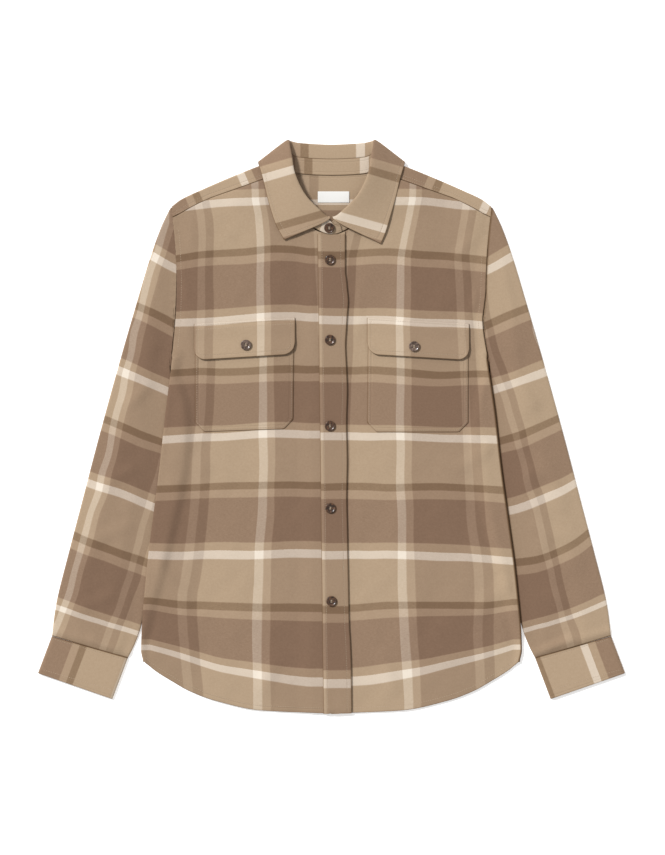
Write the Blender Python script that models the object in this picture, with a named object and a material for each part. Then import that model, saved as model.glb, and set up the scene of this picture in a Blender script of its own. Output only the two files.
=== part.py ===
"""A checked overshirt laid flat on its back: yoke, back, two fronts, button band, flapped chest
pockets, shirt collar on a stand, straight sleeves and cuffs, each a separate wall of cloth.

+X is across the garment, +Y is up towards the collar, +Z is up off the surface that it lies on.
The wearer's right front is on the -X side. Sizes below are in millimetres."""

import math

import bmesh
import bpy
from mathutils import Matrix, Vector

MM = 0.001
# Height up the garment of the outline's centre, which becomes the origin
PLAN_CENTRE_Y = 0.4

# Thickness of each kind of piece
CLOTH = 1.4
PATCH = 1.2
COLLAR_CLOTH = 1.5
CUFF_CLOTH = 2.4
LABEL_CLOTH = 0.5

# Clearances: between pieces that are sewn together, and inside a folded edge
SEAM = 0.4
PATCH_GAP = 0.35
FOLD_GAP = 1.0

# Body
YOKE_SEAM_Y = 218.6
UNDERARM_Y = 98.2
ARMHOLE_HOLLOW = 5.8
BODY_PUFF = 2.1
LAP = 2.0
LAP_RAMP = (-46.0, -22.0)
UNDERLAP_X = -18.0
BAND_TOP_Y = 246.0
BAND_LEFT = (-17.9, -10.2)
BAND_RIGHT = (18.6, 25.6)
BAND_SPAN_Y = (249.3, -366.4)
BACK_HEM_SHORTER = 2.5
SIDE_RAMP = 24.0

# Rows of the body panels, by height at the side seam, and the columns along the top of a front
TOP_LEVEL = 255.0
MID_LEVEL = 225.0
HIGH_LEVEL = 195.0
HEM_LEVEL = -298.6
LEVELS = (HIGH_LEVEL, 170, 146, 124, 108, 96, 82, 66, 44, 20, -8, -38, -70, -104, -140, -176, -212,
          -246, -276, HEM_LEVEL)
TOP_LINES = (173.0, 184.0, 194.0)

# Where the body lies on the sleeves, and on the back of the collar
SLEEVE_LIFT = 4.5
LIFT_RAMP = 15.0
LIFT_EARLY = 3.0
LIFT_START_Y = (108.0, 84.0)
CORNER_REACH = 8.0
COLLAR_LIFT = 3.4
COLLAR_LIFT_Y = (262.0, 306.0)
COLLAR_LIFT_X = (150.0, 100.0)

# Sleeves and cuffs
SLEEVE_PUFF = 2.6
CUFF_GAP = 1.0

# Pockets, flaps and buttons
POCKET_TOP_DROP = 13.0
POCKET_CHAMFER = 12.0
FLAP_CORNER = 15.0
FLAP_CURL = 1.3
BUTTON_R = 6.7
BUTTON_T = 2.6
BUTTON_DISH = 0.7
COLLAR_BUTTON = (0.1, 0.3)

# The half outline: (half width, height up the body)
SIDE = [(202.9, 98.2), (207.4, 58.6), (213.1, 12.5), (220.2, -51.5), (227.8, -111.7),
        (235.5, -173.1), (242.6, -255.0), (243.8, -285.8), (241.3, -298.6)]
HEM = [(0.0, -367.0), (90.2, -362.9), (149.1, -350.4), (183.0, -337.6), (205.4, -324.8),
       (225.9, -312.0), (241.9, -298.6), (246.0, -295.0)]
SHOULDER = [(62.1, 345.9), (92.2, 333.8), (105.6, 328.6), (137.0, 315.8), (166.4, 303.0),
            (193.3, 290.2), (204.8, 281.3)]
# The fronts' top edge: neckline from the centre, then the forward shoulder seam
FRONT_TOP = [(0.0, 246.4), (15.4, 249.3), (33.3, 262.1), (48.6, 283.8), (57.6, 305.6),
             (66.6, 323.5), (89.0, 315.8), (127.4, 302.1), (157.4, 291.5), (176.0, 282.6),
             (199.0, 269.8), (204.0, 267.6)]
BACK_NECK = [(0.0, 321.0), (22.0, 321.3), (43.5, 323.0), (56.3, 331.0)]
ARMHOLE_TOP = (204.8, 278.1)
SLEEVE_OUTER = [(207.8, 277.4), (219.5, 251.8), (233.0, 213.4), (248.3, 162.2), (266.9, 98.2),
                (284.8, 34.2), (302.1, -29.8), (318.7, -93.8), (335.4, -157.8), (351.4, -221.8),
                (357.8, -267.8)]
SLEEVE_INNER = [(203.8, 97.4), (206.2, 82.9), (207.6, 68.0), (202.0, 49.6), (195.6, 27.8),
                (192.6, 2.2), (193.8, -29.8), (201.0, -81.0), (212.5, -132.2), (225.3, -183.4),
                (235.5, -221.8), (244.2, -257.6), (252.2, -279.4), (260.5, -296.0)]
CUFF_TOP = ((357.8, -267.8), (260.5, -296.0))
CUFF_END = ((375.7, -315.2), (280.3, -348.5))

# The collar from the front to the centre back, one row for each section. seam is on the
# neckline, roll is the fold, and edge is the free edge of the leaf. stand is the stand's share
# of the cloth from seam to roll. turn is added to the cloth's direction where it folds over.
COLLAR = [
    # seam x, y      roll x, y, z           edge x, y, z          stand  turn x, y, z
    (0.0, 248.5,     1.4, 267.0, 14.2,      60.8, 239.0, 9.2,     0.80,  -17.0, -13.0, 5.0),
    (26.0, 257.6,    17.9, 278.7, 16.0,     71.7, 259.5, 8.9,     0.78,  0.0, 0.0, 6.0),
    (47.0, 282.4,    35.8, 297.9, 18.5,     80.6, 287.7, 9.4,     0.74,  0.0, 0.0, 7.0),
    (60.2, 314.0,    47.4, 323.5, 20.5,     87.0, 314.6, 10.4,    0.70,  0.0, 0.0, 7.0),
    (62.0, 333.0,    53.8, 346.0, 20.0,     90.8, 328.0, 10.2,    0.66,  0.0, 0.0, 4.0),
    (58.6, 340.5,    58.0, 365.4, 13.8,     93.6, 337.4, 6.4,     0.60,  0.0, 0.0, -3.0),
    (57.4, 337.0,    56.2, 365.6, 8.8,      90.4, 338.4, 1.4,     0.58,  0.0, 0.0, -6.0),
    (54.6, 332.0,    51.0, 364.4, 5.9,      83.0, 325.6, 0.9,    0.58,  0.0, 0.0, -7.0),
    (43.5, 324.4,    38.4, 362.2, 5.2,      56.0, 315.5, 0.85,    0.58,  0.0, 0.0, -6.0),
    (0.0, 321.9,     0.0, 360.2, 4.8,       0.0, 313.3, 0.85,     0.58,  0.0, 0.0, -6.0),
]
COLLAR_BACK = (4.0, 6.0)
COLLAR_LAP = (2.6, 0.9)
LEFT_TIP = (2.0, -5.0)
STAND_PAST = -0.5
LEAF_GAP_SHARE = 0.055
STAND_END_SHARE = 0.4

# Creases that show from a step away: a soft ridge (height above 0) or trough between two points
CREASES = [
    # x0, y0, x1, y1, half width, height
    (-196.0, 236.0, -184.0, 150.0, 9.0, 1.0),
    (-188.0, 256.0, -150.0, 200.0, 12.0, 0.9),
    (196.0, 236.0, 182.0, 140.0, 9.0, 1.0),
    (186.0, 250.0, 140.0, 190.0, 12.0, 0.8),
    (-206.0, -14.0, -150.0, -62.0, 15.0, 1.2),
    (-216.0, -60.0, -160.0, -130.0, 16.0, 1.3),
    (-236.0, -160.0, -176.0, -236.0, 17.0, 1.6),
    (212.0, -20.0, 150.0, -60.0, 15.0, 1.1),
    (236.0, -190.0, 170.0, -250.0, 18.0, 1.4),
    (60.0, -280.0, 84.0, -350.0, 16.0, 1.0),
    (-70.0, -290.0, -92.0, -350.0, 16.0, 1.0),
]
SLEEVE_CREASES = [
    # x0, y0, x1, y1 on the +X sleeve, half width, height
    (214.0, 232.0, 240.0, 120.0, 12.0, 1.2),
    (226.0, 60.0, 268.0, 20.0, 13.0, 1.4),
    (246.0, -50.0, 300.0, -76.0, 13.0, 1.5),
    (248.0, -120.0, 312.0, -150.0, 14.0, 1.3),
    (270.0, -210.0, 330.0, -236.0, 13.0, 1.2),
]

# Buttons down the band, on the flaps, and the first one hidden by the collar
BAND_BUTTONS = [(-1.9, 213.4), (-1.9, 111.0), (-1.9, 1.0), (-1.3, -104.0), (0.0, -223.0)]
FLAP_BUTTONS = {"flap_right": (-109.4, 104.6), "flap_left": (105.6, 102.7)}
# Pocket corners: centre side and outer side, as (x, top y, bottom y)
POCKETS = {
    "pocket_right": ((-48.0, 139.5, -2.4), (-174.6, 131.5, -6.7)),
    "pocket_left": ((46.8, 139.3, -6.7), (174.8, 131.5, -6.7)),
}
FLAP_DEPTH = 46.5
LABEL = (-17.5, 22.7, 286.8, 301.0)

FABRIC = (0.36, 0.26, 0.18)
LABEL_WHITE = (0.85, 0.84, 0.82)
HORN = (0.07, 0.045, 0.03)
PEARL_HORN = (0.30, 0.20, 0.14)


def smooth(t):
    """A soft step from 0 to 1."""
    t = min(1.0, max(0.0, t))
    return t * t * (3.0 - 2.0 * t)


def hermite(p, q, start, end, t):
    """The cubic from p to q with these tangents; numbers or vectors."""
    return (p * (1 + 2 * t) * (1 - t) ** 2 + start * t * (1 - t) ** 2
            + q * t * t * (3 - 2 * t) - end * t * t * (1 - t))


def curve(rows, key, value, at):
    """A smooth curve through a table's rows, read at a value of the key column."""
    order = sorted(rows, key=lambda row: row[key])
    xs = [row[key] for row in order]
    ys = [row[value] for row in order]
    at = min(max(at, xs[0]), xs[-1])
    i = max(k for k in range(len(xs) - 1) if xs[k] <= at)
    slopes = [(ys[k + 1] - ys[k]) / (xs[k + 1] - xs[k]) for k in range(len(xs) - 1)]

    def tangent(k):
        if k == 0:
            return slopes[0]
        if k == len(xs) - 1:
            return slopes[-1]
        before, after = slopes[k - 1], slopes[k]
        return 0.0 if before * after <= 0 else 2 * before * after / (before + after)

    wide = xs[i + 1] - xs[i]
    return hermite(ys[i], ys[i + 1], tangent(i) * wide, tangent(i + 1) * wide, (at - xs[i]) / wide)


def along(points, share):
    """The point at a share of the length of a smooth curve through the points."""
    vectors = [Vector(p) for p in points]
    lengths = [0.0]
    for a, b in zip(vectors, vectors[1:]):
        lengths.append(lengths[-1] + (b - a).length)
    at = share * lengths[-1]
    i = max(k for k in range(len(vectors) - 1) if lengths[k] <= at + 1e-9)
    before = vectors[max(i - 1, 0)]
    after = vectors[min(i + 2, len(vectors) - 1)]
    a, b = vectors[i], vectors[i + 1]
    t = (at - lengths[i]) / (lengths[i + 1] - lengths[i])
    return hermite(a, b, (b - before) / 2, (after - a) / 2, min(t, 1.0))


def crease_height(table, x, y):
    """The sum of the soft creases at a point."""
    total = 0.0
    for x0, y0, x1, y1, half, height in table:
        run = Vector((x1 - x0, y1 - y0))
        share = ((x - x0) * run.x + (y - y0) * run.y) / run.length_squared
        across = abs((x - x0) * run.y - (y - y0) * run.x) / run.length
        ends = smooth(4 * share) * smooth(4 * (1 - share))
        total += height * ends * smooth(1 - across / half)
    return total


def armhole(y):
    """Half width of the body on the armhole seam."""
    top, bottom = ARMHOLE_TOP, SIDE[0]
    share = (top[1] - y) / (top[1] - bottom[1])
    chord = top[0] + (bottom[0] - top[0]) * share
    return chord - ARMHOLE_HOLLOW * 4 * share * (1 - share)


def side(y):
    """Half width of the body: the armhole seam above the underarm, the side seam below it."""
    return armhole(y) if y > UNDERARM_Y else curve(SIDE, 1, 0, y)


def sleeve_inner(y):
    return curve(SLEEVE_INNER, 1, 0, y)


def lift(x, y):
    """How far the body is held off the surface, by the sleeve's edge and by the collar's back."""
    under = min(sleeve_inner(y), side(y) + CORNER_REACH)
    ramp = smooth((abs(x) - under + LIFT_EARLY + LIFT_RAMP) / LIFT_RAMP)
    start = smooth((LIFT_START_Y[0] - y) / (LIFT_START_Y[0] - LIFT_START_Y[1]))
    over_sleeve = SLEEVE_LIFT * ramp * start
    up = smooth((y - COLLAR_LIFT_Y[0]) / (COLLAR_LIFT_Y[1] - COLLAR_LIFT_Y[0]))
    across = smooth((COLLAR_LIFT_X[0] - abs(x)) / (COLLAR_LIFT_X[0] - COLLAR_LIFT_X[1]))
    return over_sleeve + COLLAR_LIFT * up * across


def hem(x):
    return curve(HEM, 0, 1, abs(x))


def shoulder(x):
    return curve(SHOULDER, 0, 1, abs(x))


def air(x, y):
    """The gap between the back's cloth and the front's: least at the edges."""
    from_side = smooth((side(y) - abs(x)) / SIDE_RAMP)
    from_hem = smooth((y - hem(x)) / 50.0)
    from_shoulder = smooth((shoulder(x) - y) / 45.0)
    return FOLD_GAP + BODY_PUFF * from_side * (0.25 + 0.75 * from_hem) * (0.2 + 0.8 * from_shoulder)


def back_z(x, y):
    return lift(x, y) + CLOTH / 2


def front_z(x, y, upper=False):
    """Middle of a front's cloth. The upper front rides over the other one's edge."""
    edge = smooth((side(y) - abs(x)) / 14.0)
    lap = LAP * smooth((x - LAP_RAMP[0]) / (LAP_RAMP[1] - LAP_RAMP[0])) if upper else 0.0
    return back_z(x, y) + CLOTH + air(x, y) + lap + edge * crease_height(CREASES, x, y)


def finish(bm, name, material, thickness=0.0, even=True):
    """Turns a bmesh into a named object, with its cloth's thickness on both sides of it."""
    bmesh.ops.recalc_face_normals(bm, faces=bm.faces)
    mesh = bpy.data.meshes.new(name)
    bm.to_mesh(mesh)
    bm.free()
    mesh.transform(Matrix.Scale(MM, 4) @ Matrix.Translation((0, -PLAN_CENTRE_Y, 0)))
    mesh.materials.append(material)
    mesh.shade_smooth()
    mesh.set_sharp_from_angle(angle=math.radians(40))
    made = bpy.data.objects.new(name, mesh)
    bpy.context.scene.collection.objects.link(made)
    if thickness:
        wall = made.modifiers.new("cloth", "SOLIDIFY")
        wall.thickness = thickness * MM
        wall.offset = 0.0
        wall.use_even_offset = even
    return made


def sheet(name, material, across, up, place, thickness):
    """A panel of cloth: a grid of across by up cells, each corner put in place by (column, row)."""
    bm = bmesh.new()
    bmesh.ops.create_grid(bm, x_segments=across, y_segments=up, size=0.5)
    for vert in bm.verts:
        column = round((vert.co.x + 0.5) * across)
        row = round((vert.co.y + 0.5) * up)
        vert.co = place(column, row)
    return finish(bm, name, material, thickness)


def tube(name, material, around, up, place, thickness):
    """A flattened tube of cloth, open at both ends."""
    bm = bmesh.new()
    bmesh.ops.create_grid(bm, x_segments=around, y_segments=up, size=0.5)
    for vert in bm.verts:
        column = round((vert.co.x + 0.5) * around)
        row = round((vert.co.y + 0.5) * up)
        vert.co = place(column % around, row)
    bmesh.ops.remove_doubles(bm, verts=bm.verts, dist=0.01)
    return finish(bm, name, material, thickness, even=False)


def body_lines(y):
    """Half widths of the outer columns: along the sleeve that lies underneath, and the side."""
    under = min(sleeve_inner(y) - LIFT_EARLY, side(y) - 7.0)
    return under - LIFT_RAMP, under - LIFT_RAMP / 2, under, side(y)


def level_y(level, top_y, hem_y):
    """Rows are straight over the chest. Above it they bend to the top edge, below to the hem."""
    if level > HIGH_LEVEL:
        return HIGH_LEVEL + (top_y - HIGH_LEVEL) * (level - HIGH_LEVEL) / (TOP_LEVEL - HIGH_LEVEL)
    return level if level > 0 else level * hem_y / HEM_LEVEL


def settle(level, top_y, column_x, hem_up=0.0):
    """A panel's point on a row and a column: the two depend on each other."""
    y = level_y(level, top_y, HEM_LEVEL)
    for _ in range(8):
        y = level_y(level, top_y, hem(column_x(y)) + hem_up)
    return column_x(y), y


def make_front(name, material, upper):
    """A front from its centre edge to its side edge. The upper one's edge carries the band."""
    sign = -1.0 if upper else 1.0
    inner = [20.0, 4.0, -20.0] if upper else [UNDERLAP_X, -4.0, 20.0]
    fixed = inner + [sign * a for a in (40.0, 54.0, 66.6, 88.0, 112.0, 137.0, 155.0)]
    levels = (TOP_LEVEL, MID_LEVEL) + LEVELS

    def place(column, row):
        level = levels[row]
        above = max(0.0, (level - HIGH_LEVEL) / (TOP_LEVEL - HIGH_LEVEL))

        def column_x(y):
            if column == 0 and upper:
                share = (BAND_SPAN_Y[0] - y) / (BAND_SPAN_Y[0] - BAND_SPAN_Y[1])
                return BAND_RIGHT[0] + (BAND_RIGHT[1] - BAND_RIGHT[0]) * share
            if column < len(fixed):
                return fixed[column]
            line = column - len(fixed)
            low = body_lines(min(y, HIGH_LEVEL))[line]
            if line == len(TOP_LINES):
                return sign * side(y)
            return sign * (low + (TOP_LINES[line] - low) * above)

        top_x = column_x(268.0) if column >= len(fixed) else column_x(BAND_SPAN_Y[0])
        if len(fixed) <= column < len(fixed) + len(TOP_LINES):
            top_x = TOP_LINES[column - len(fixed)]
        top_y = curve(FRONT_TOP, 0, 1, abs(top_x)) - 0.1
        x, y = settle(level, top_y, column_x)
        return Vector((x, y, front_z(x, y, upper)))

    return sheet(name, material, len(fixed) + len(TOP_LINES), len(levels) - 1, place, CLOTH)


def make_back(material):
    shares = (0.0, 0.22, 0.44, 0.64, 0.83)
    levels = (TOP_LEVEL,) + LEVELS
    half = len(shares) + len(TOP_LINES)

    def place(column, row):
        place_in_half = abs(column - half)
        sign = 1.0 if column >= half else -1.0

        def column_x(y):
            lines = body_lines(y)
            if place_in_half < len(shares):
                return sign * lines[0] * shares[place_in_half]
            return sign * lines[place_in_half - len(shares)]

        x, y = settle(levels[row], YOKE_SEAM_Y - SEAM / 2, column_x, BACK_HEM_SHORTER)
        return Vector((x, y, back_z(x, y)))

    return sheet("back", material, 2 * half, len(levels) - 1, place, CLOTH)


def yoke_fold(x, y):
    """The shoulder fold over a plan point: its height up the body, middle, radius and quarter."""
    low = back_z(x, y)
    radius = (CLOTH + air(x, y)) / 2
    return shoulder(x) - CLOTH / 2, low + radius, radius, math.pi * radius / 2


def unfolded(x, y):
    """Distance over the cloth from the shoulder fold to a flat point of the yoke."""
    fold_y, _, radius, quarter = yoke_fold(x, y)
    return fold_y - radius - y + quarter


def yoke_point(x, from_fold):
    """A point of the yoke at a distance from the shoulder fold: above 0 under, below 0 on top."""
    fold_y, middle, radius, quarter = yoke_fold(x, shoulder(x) - abs(from_fold))
    if abs(from_fold) < quarter:
        angle = from_fold / radius
        return Vector((x, fold_y - radius + radius * math.cos(angle), middle - radius * math.sin(angle)))
    y = fold_y - radius - (abs(from_fold) - quarter)
    return Vector((x, y, middle - math.copysign(radius, from_fold)))


def make_yoke(material):
    """The yoke lies under the shoulders, folds over them and ends at the forward seam."""
    foot_y = YOKE_SEAM_Y + SEAM / 2
    corner_y = curve(FRONT_TOP, 0, 1, armhole(268.0)) + SEAM
    # (x at the end, distance of the end from the fold, x at the back seam)
    half = [(x, unfolded(x, y), foot) for (x, y), foot in zip(BACK_NECK, (0.0, 18.0, 34.0, 46.0))]
    half += [(61.2, 4.0, 54.0), (63.6, -11.0, 60.0)]
    for x in (66.6, 76.0, 88.0, 100.0, 112.0, 125.0, 137.0, 155.0) + TOP_LINES:
        half.append((x, -unfolded(x, curve(FRONT_TOP, 0, 1, x) + SEAM), x * 0.985))
    half.append((armhole(corner_y), -unfolded(armhole(corner_y), corner_y), armhole(foot_y)))
    columns = [(-x, end, -foot) for x, end, foot in reversed(half[1:])] + half

    def place(column, row):
        end_x, end, foot_x = columns[column]
        foot = unfolded(foot_x, foot_y)
        if end < 0:
            near = 2.8
            bends = [near + (foot - near) * s for s in (1.0, 0.7, 0.45, 0.24, 0.09)]
            bends += [2.8, 1.4, 0.0, -1.4, -2.8, (end - 2.8) / 2, end]
        else:
            bends = [end + (foot - end) * s for s in (1.0, 0.7, 0.45, 0.24, 0.12)]
            bends += [end + step for step in (6.0, 5.0, 4.0, 3.0, 2.0, 1.0, 0.0)]
        from_fold = bends[row]
        x = end_x + (foot_x - end_x) * (from_fold - end) / (foot - end)
        point = yoke_point(x, from_fold)
        if abs(end_x) > 200.0:
            x = math.copysign(armhole(min(point.y, ARMHOLE_TOP[1])), end_x)
            point = yoke_point(x, from_fold)
        return point

    return sheet("yoke", material, len(columns) - 1, 11, place, CLOTH)


def edge_and_outward(points, share, turn):
    """A point on a tube's silhouette line and the direction out of the tube there."""
    point = along(points, share)
    run = along(points, min(share + 0.01, 1.0)) - along(points, max(share - 0.01, 0.0))
    run.normalize()
    return point, Vector((-run.y, run.x)) * turn


def ring(outer_edge, inner_edge, bulge, columns, wall, low, high):
    """Points round a flattened tube: along its under layer, over the inner fold, back along its
    upper layer and over the outer fold. Each edge is a silhouette point and its way out."""
    def fold(edge):
        point, out = edge
        radius = (high(point.x, point.y) - low(point.x, point.y)) / 2
        return point - out * (radius + wall / 2), out, radius

    outer, outer_out, outer_radius = fold(outer_edge)
    inner, inner_out, inner_radius = fold(inner_edge)

    def plan(share):
        return outer.lerp(inner, share) + Vector((bulge * 4 * share * (1 - share), 0.0))

    def arc(centre, out, radius, angles):
        middle = low(centre.x, centre.y) + radius
        for angle in angles:
            p = centre + out * radius * math.cos(angle)
            yield Vector((p.x, p.y, middle + radius * math.sin(angle)))

    shares = [k / columns for k in range(columns + 1)]
    bend = math.radians(30)
    under = [Vector((*plan(s), low(*plan(s)))) for s in shares]
    over = [Vector((*plan(s), high(*plan(s)))) for s in reversed(shares)]
    return (under + list(arc(inner, inner_out, inner_radius, (-bend, bend)))
            + over + list(arc(outer, outer_out, outer_radius, (bend, -bend))))


def sleeve_high(x, y):
    """Middle of the sleeve's upper layer: flat at its edges and under the body."""
    from_body = smooth((abs(x) - side(y) - 3.0) / 34.0)
    outer_edge = curve(SLEEVE_OUTER, 1, 0, y)
    from_outer = smooth((outer_edge - abs(x)) / 34.0)
    from_inner = smooth((abs(x) - sleeve_inner(y)) / 26.0) if y < UNDERARM_Y else 1.0
    middle = from_body * from_outer * from_inner
    creases = crease_height(SLEEVE_CREASES, abs(x), y) * middle
    return CLOTH / 2 + CLOTH + FOLD_GAP + SLEEVE_PUFF * middle + creases


def make_sleeve(name, material, sign):
    columns, rows = 9, 18
    rings = []
    down = (Vector(CUFF_END[0]) - Vector(CUFF_TOP[0])).normalized()
    for row in range(rows + 1):
        share = row / rows
        eased = share ** 1.15
        outer = edge_and_outward(SLEEVE_OUTER, eased, 1)
        inner = edge_and_outward(SLEEVE_INNER, eased, -1)
        bulge = -ARMHOLE_HOLLOW * (1 - smooth(share * 5))
        if row == rows:
            outer = Vector(CUFF_TOP[0]) - down * SEAM * 1.5, outer[1]
            inner = Vector(CUFF_TOP[1]) - down * SEAM * 1.5, inner[1]
        rings.append(ring(outer, inner, bulge, columns, CLOTH, lambda x, y: CLOTH / 2, sleeve_high))

    def place(column, row):
        p = rings[row][column]
        return Vector((sign * p.x, p.y, p.z))

    return tube(name, material, len(rings[0]), rows, place, CLOTH)


def make_cuff(name, material, sign):
    columns, rows = 6, 2
    low = CUFF_CLOTH / 2
    rings = []
    for row in range(rows + 1):
        outer = edge_and_outward((CUFF_TOP[0], CUFF_END[0]), row / rows, 1)
        inner = edge_and_outward((CUFF_TOP[1], CUFF_END[1]), row / rows, -1)
        rings.append(ring(outer, inner, 0.0, columns, CUFF_CLOTH,
                          lambda x, y: low, lambda x, y: low + CUFF_CLOTH + CUFF_GAP))

    def place(column, row):
        p = rings[row][column]
        return Vector((sign * p.x, p.y, p.z))

    return tube(name, material, len(rings[0]), rows, place, CUFF_CLOTH)


def collar_row(at):
    """The collar's section values at a place between two rows of its table. The rows carry on
    as a mirror image past the centre front and the centre back."""
    i = math.floor(at)
    t = at - i
    last = len(COLLAR) - 1

    def row(k):
        if 0 <= k <= last:
            return COLLAR[k]
        other = list(COLLAR[-k] if k < 0 else COLLAR[2 * last - k])
        for x_column in (0, 2, 5, 9):
            other[x_column] = -other[x_column]
        return other

    before, a, b, after = (row(k) for k in (i - 1, i, i + 1, i + 2))
    return [hermite(a[c], b[c], (b[c] - before[c]) / 2, (after[c] - a[c]) / 2, t)
            for c in range(len(COLLAR[0]))]


def collar_point(at, share, sign):
    """A point of the collar: share 0 is the neck seam, 1 the roll and 2 the leaf's edge."""
    values = collar_row(at)
    front_part = smooth((COLLAR_BACK[1] - at) / (COLLAR_BACK[1] - COLLAR_BACK[0]))
    seam_x, seam_y = sign * values[0], values[1]
    low = back_z(seam_x, seam_y)
    high = front_z(seam_x, min(seam_y, shoulder(seam_x)), sign < 0)
    seam_z = low + (high - low) * front_part + (CLOTH + COLLAR_CLOTH) / 2 + PATCH_GAP
    seam = Vector((values[0], values[1], seam_z))
    roll, edge = Vector(values[2:5]), Vector(values[5:8])
    if sign < 0:
        roll.z += LAP * smooth((COLLAR_LAP[0] - at) / (COLLAR_LAP[0] - COLLAR_LAP[1]))
    else:
        edge += Vector((*LEFT_TIP, 0.0)) * smooth(1 - at / 1.5)
    at_roll = Vector((edge.x - seam.x, edge.y - seam.y, 0.0)) * 0.32 + Vector(values[9:12])
    if share <= 1.0:
        start = (roll - seam) * 0.9 + Vector((0.0, 0.0, 1.5))
        point = hermite(seam, roll, start, at_roll, share)
    else:
        point = hermite(roll, edge, at_roll, level_off(edge - roll), share - 1.0)
    point.x = sign * point.x
    return point


def level_off(run):
    """The cloth's direction at the leaf's free edge, which lies nearly level."""
    return Vector((0.9 * run.x, 0.9 * run.y, 0.2 * run.z))


def collar_columns(start):
    """Places along the collar from one front end round the back to the other."""
    last = len(COLLAR) - 1
    half = [start] + [k / 2 for k in range(1 if start == 0 else 0, 2 * last + 1)]
    return [(at, -1.0) for at in half] + [(at, 1.0) for at in reversed(half[:-1])]


def make_leaf(material):
    columns = collar_columns(0.0)
    shares = (0.0, 0.4, 0.7, 1.0, 1.15, 1.35, 1.65, 2.0)

    def place(column, row):
        at, sign = columns[column]
        stand = collar_row(at)[8] + LEAF_GAP_SHARE
        share = shares[row]
        return collar_point(at, stand + (1 - stand) * share if share < 1 else share, sign)

    return sheet("collar_leaf", material, len(columns) - 1, len(shares) - 1, place, COLLAR_CLOTH)


def make_stand(material):
    """The stand's two ends pass each other at the centre front, under the leaf's points."""
    columns = collar_columns(STAND_PAST)
    rows = 4

    def place(column, row):
        at, sign = columns[column]
        stand = collar_row(at)[8] - LEAF_GAP_SHARE
        stand *= 1 - (1 - STAND_END_SHARE) * smooth(0.5 - at)
        return collar_point(at, stand * row / rows, sign)

    return sheet("collar_stand", material, len(columns) - 1, rows, place, COLLAR_CLOTH)


def make_band(material):
    """The button band lies on the upper front's edge."""
    across, rows = 3, 22

    def place(column, row):
        y = BAND_TOP_Y + (hem(22.0) + 0.3 - BAND_TOP_Y) * row / rows
        share = (BAND_SPAN_Y[0] - y) / (BAND_SPAN_Y[0] - BAND_SPAN_Y[1])
        left = BAND_LEFT[0] + (BAND_LEFT[1] - BAND_LEFT[0]) * share
        right = BAND_RIGHT[0] + (BAND_RIGHT[1] - BAND_RIGHT[0]) * share
        x = left + (right - left) * column / across
        y = min(y, curve(FRONT_TOP, 0, 1, abs(x)) - 0.5)
        if row == rows:
            y = hem(x)
        return Vector((x, y, front_z(x, y, True) + (CLOTH + PATCH) / 2 + PATCH_GAP))

    return sheet("button_band", material, across, rows, place, PATCH)


def pocket_frame(name):
    """Corners of a pocket: (centre top, outer top, centre foot, outer foot)."""
    (xc, tc, bc), (xo, to, bo) = POCKETS[name]
    return Vector((xc, tc)), Vector((xo, to)), Vector((xc - 1.2, bc)), Vector((xo, bo))


def make_pocket(name, material):
    across, rows = 6, 6
    centre_top, outer_top, centre_foot, outer_foot = pocket_frame(name)

    def place(column, row):
        c, r = column / across, row / rows
        top = centre_top.lerp(outer_top, c) - Vector((0, POCKET_TOP_DROP))
        foot = centre_foot.lerp(outer_foot, c)
        cut = POCKET_CHAMFER * max(0.0, 1 - min(c, 1 - c) * across)
        p = top.lerp(foot + Vector((0, cut)), r)
        z = front_z(p.x, p.y, p.x < 0) + (CLOTH + PATCH) / 2 + PATCH_GAP
        return Vector((p.x, p.y, z))

    return sheet(name, material, across, rows, place, PATCH)


def flap_z(x, y, depth):
    """Middle of a flap's cloth: on the front at its top edge, then over the pocket's."""
    over_pocket = PATCH_GAP + (PATCH + PATCH_GAP) * smooth(depth / (POCKET_TOP_DROP - 4.0))
    curl = FLAP_CURL * smooth(1.6 * depth / FLAP_DEPTH - 0.6)
    return front_z(x, y, x < 0) + (CLOTH + PATCH) / 2 + over_pocket + curl


def make_flap(name, pocket, material):
    across, rows = 8, 5
    centre_top, outer_top, _, _ = pocket_frame(pocket)
    over = (outer_top - centre_top).normalized() * 1.4

    def place(column, row):
        c, r = column / across, row / rows
        top = (centre_top - over).lerp(outer_top + over, c)
        corner = max(0.0, 1 - min(c, 1 - c) * (outer_top - centre_top).length / FLAP_CORNER)
        depth = FLAP_DEPTH - FLAP_CORNER * (1 - math.sqrt(max(0.0, 1 - corner * corner)))
        p = top - Vector((0, depth * r))
        return Vector((p.x, p.y, flap_z(p.x, p.y, depth * r)))

    return sheet(name, material, across, rows, place, PATCH)


def make_button(name, material, centre, up=Vector((0, 0, 1))):
    """A dished disc with a rim, turned about its own axis. centre is on its flat underside."""
    bm = bmesh.new()
    profile = [(0.0, 0.0), (BUTTON_R - 1.6, 0.0), (BUTTON_R, 1.3), (BUTTON_R - 0.7, BUTTON_T),
               (BUTTON_R - 2.2, BUTTON_T - BUTTON_DISH), (0.0, BUTTON_T - BUTTON_DISH)]
    verts = [bm.verts.new((r, 0.0, z)) for r, z in profile]
    edges = [bm.edges.new(pair) for pair in zip(verts, verts[1:])]
    bmesh.ops.spin(bm, geom=verts + edges, cent=(0, 0, 0), axis=(0, 0, 1), angle=math.tau,
                   steps=14, use_merge=True)
    bmesh.ops.remove_doubles(bm, verts=bm.verts, dist=0.01)
    turn = Vector((0, 0, 1)).rotation_difference(up).to_matrix().to_4x4()
    bmesh.ops.transform(bm, matrix=Matrix.Translation(centre) @ turn, verts=bm.verts)
    return finish(bm, name, material)


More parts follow.
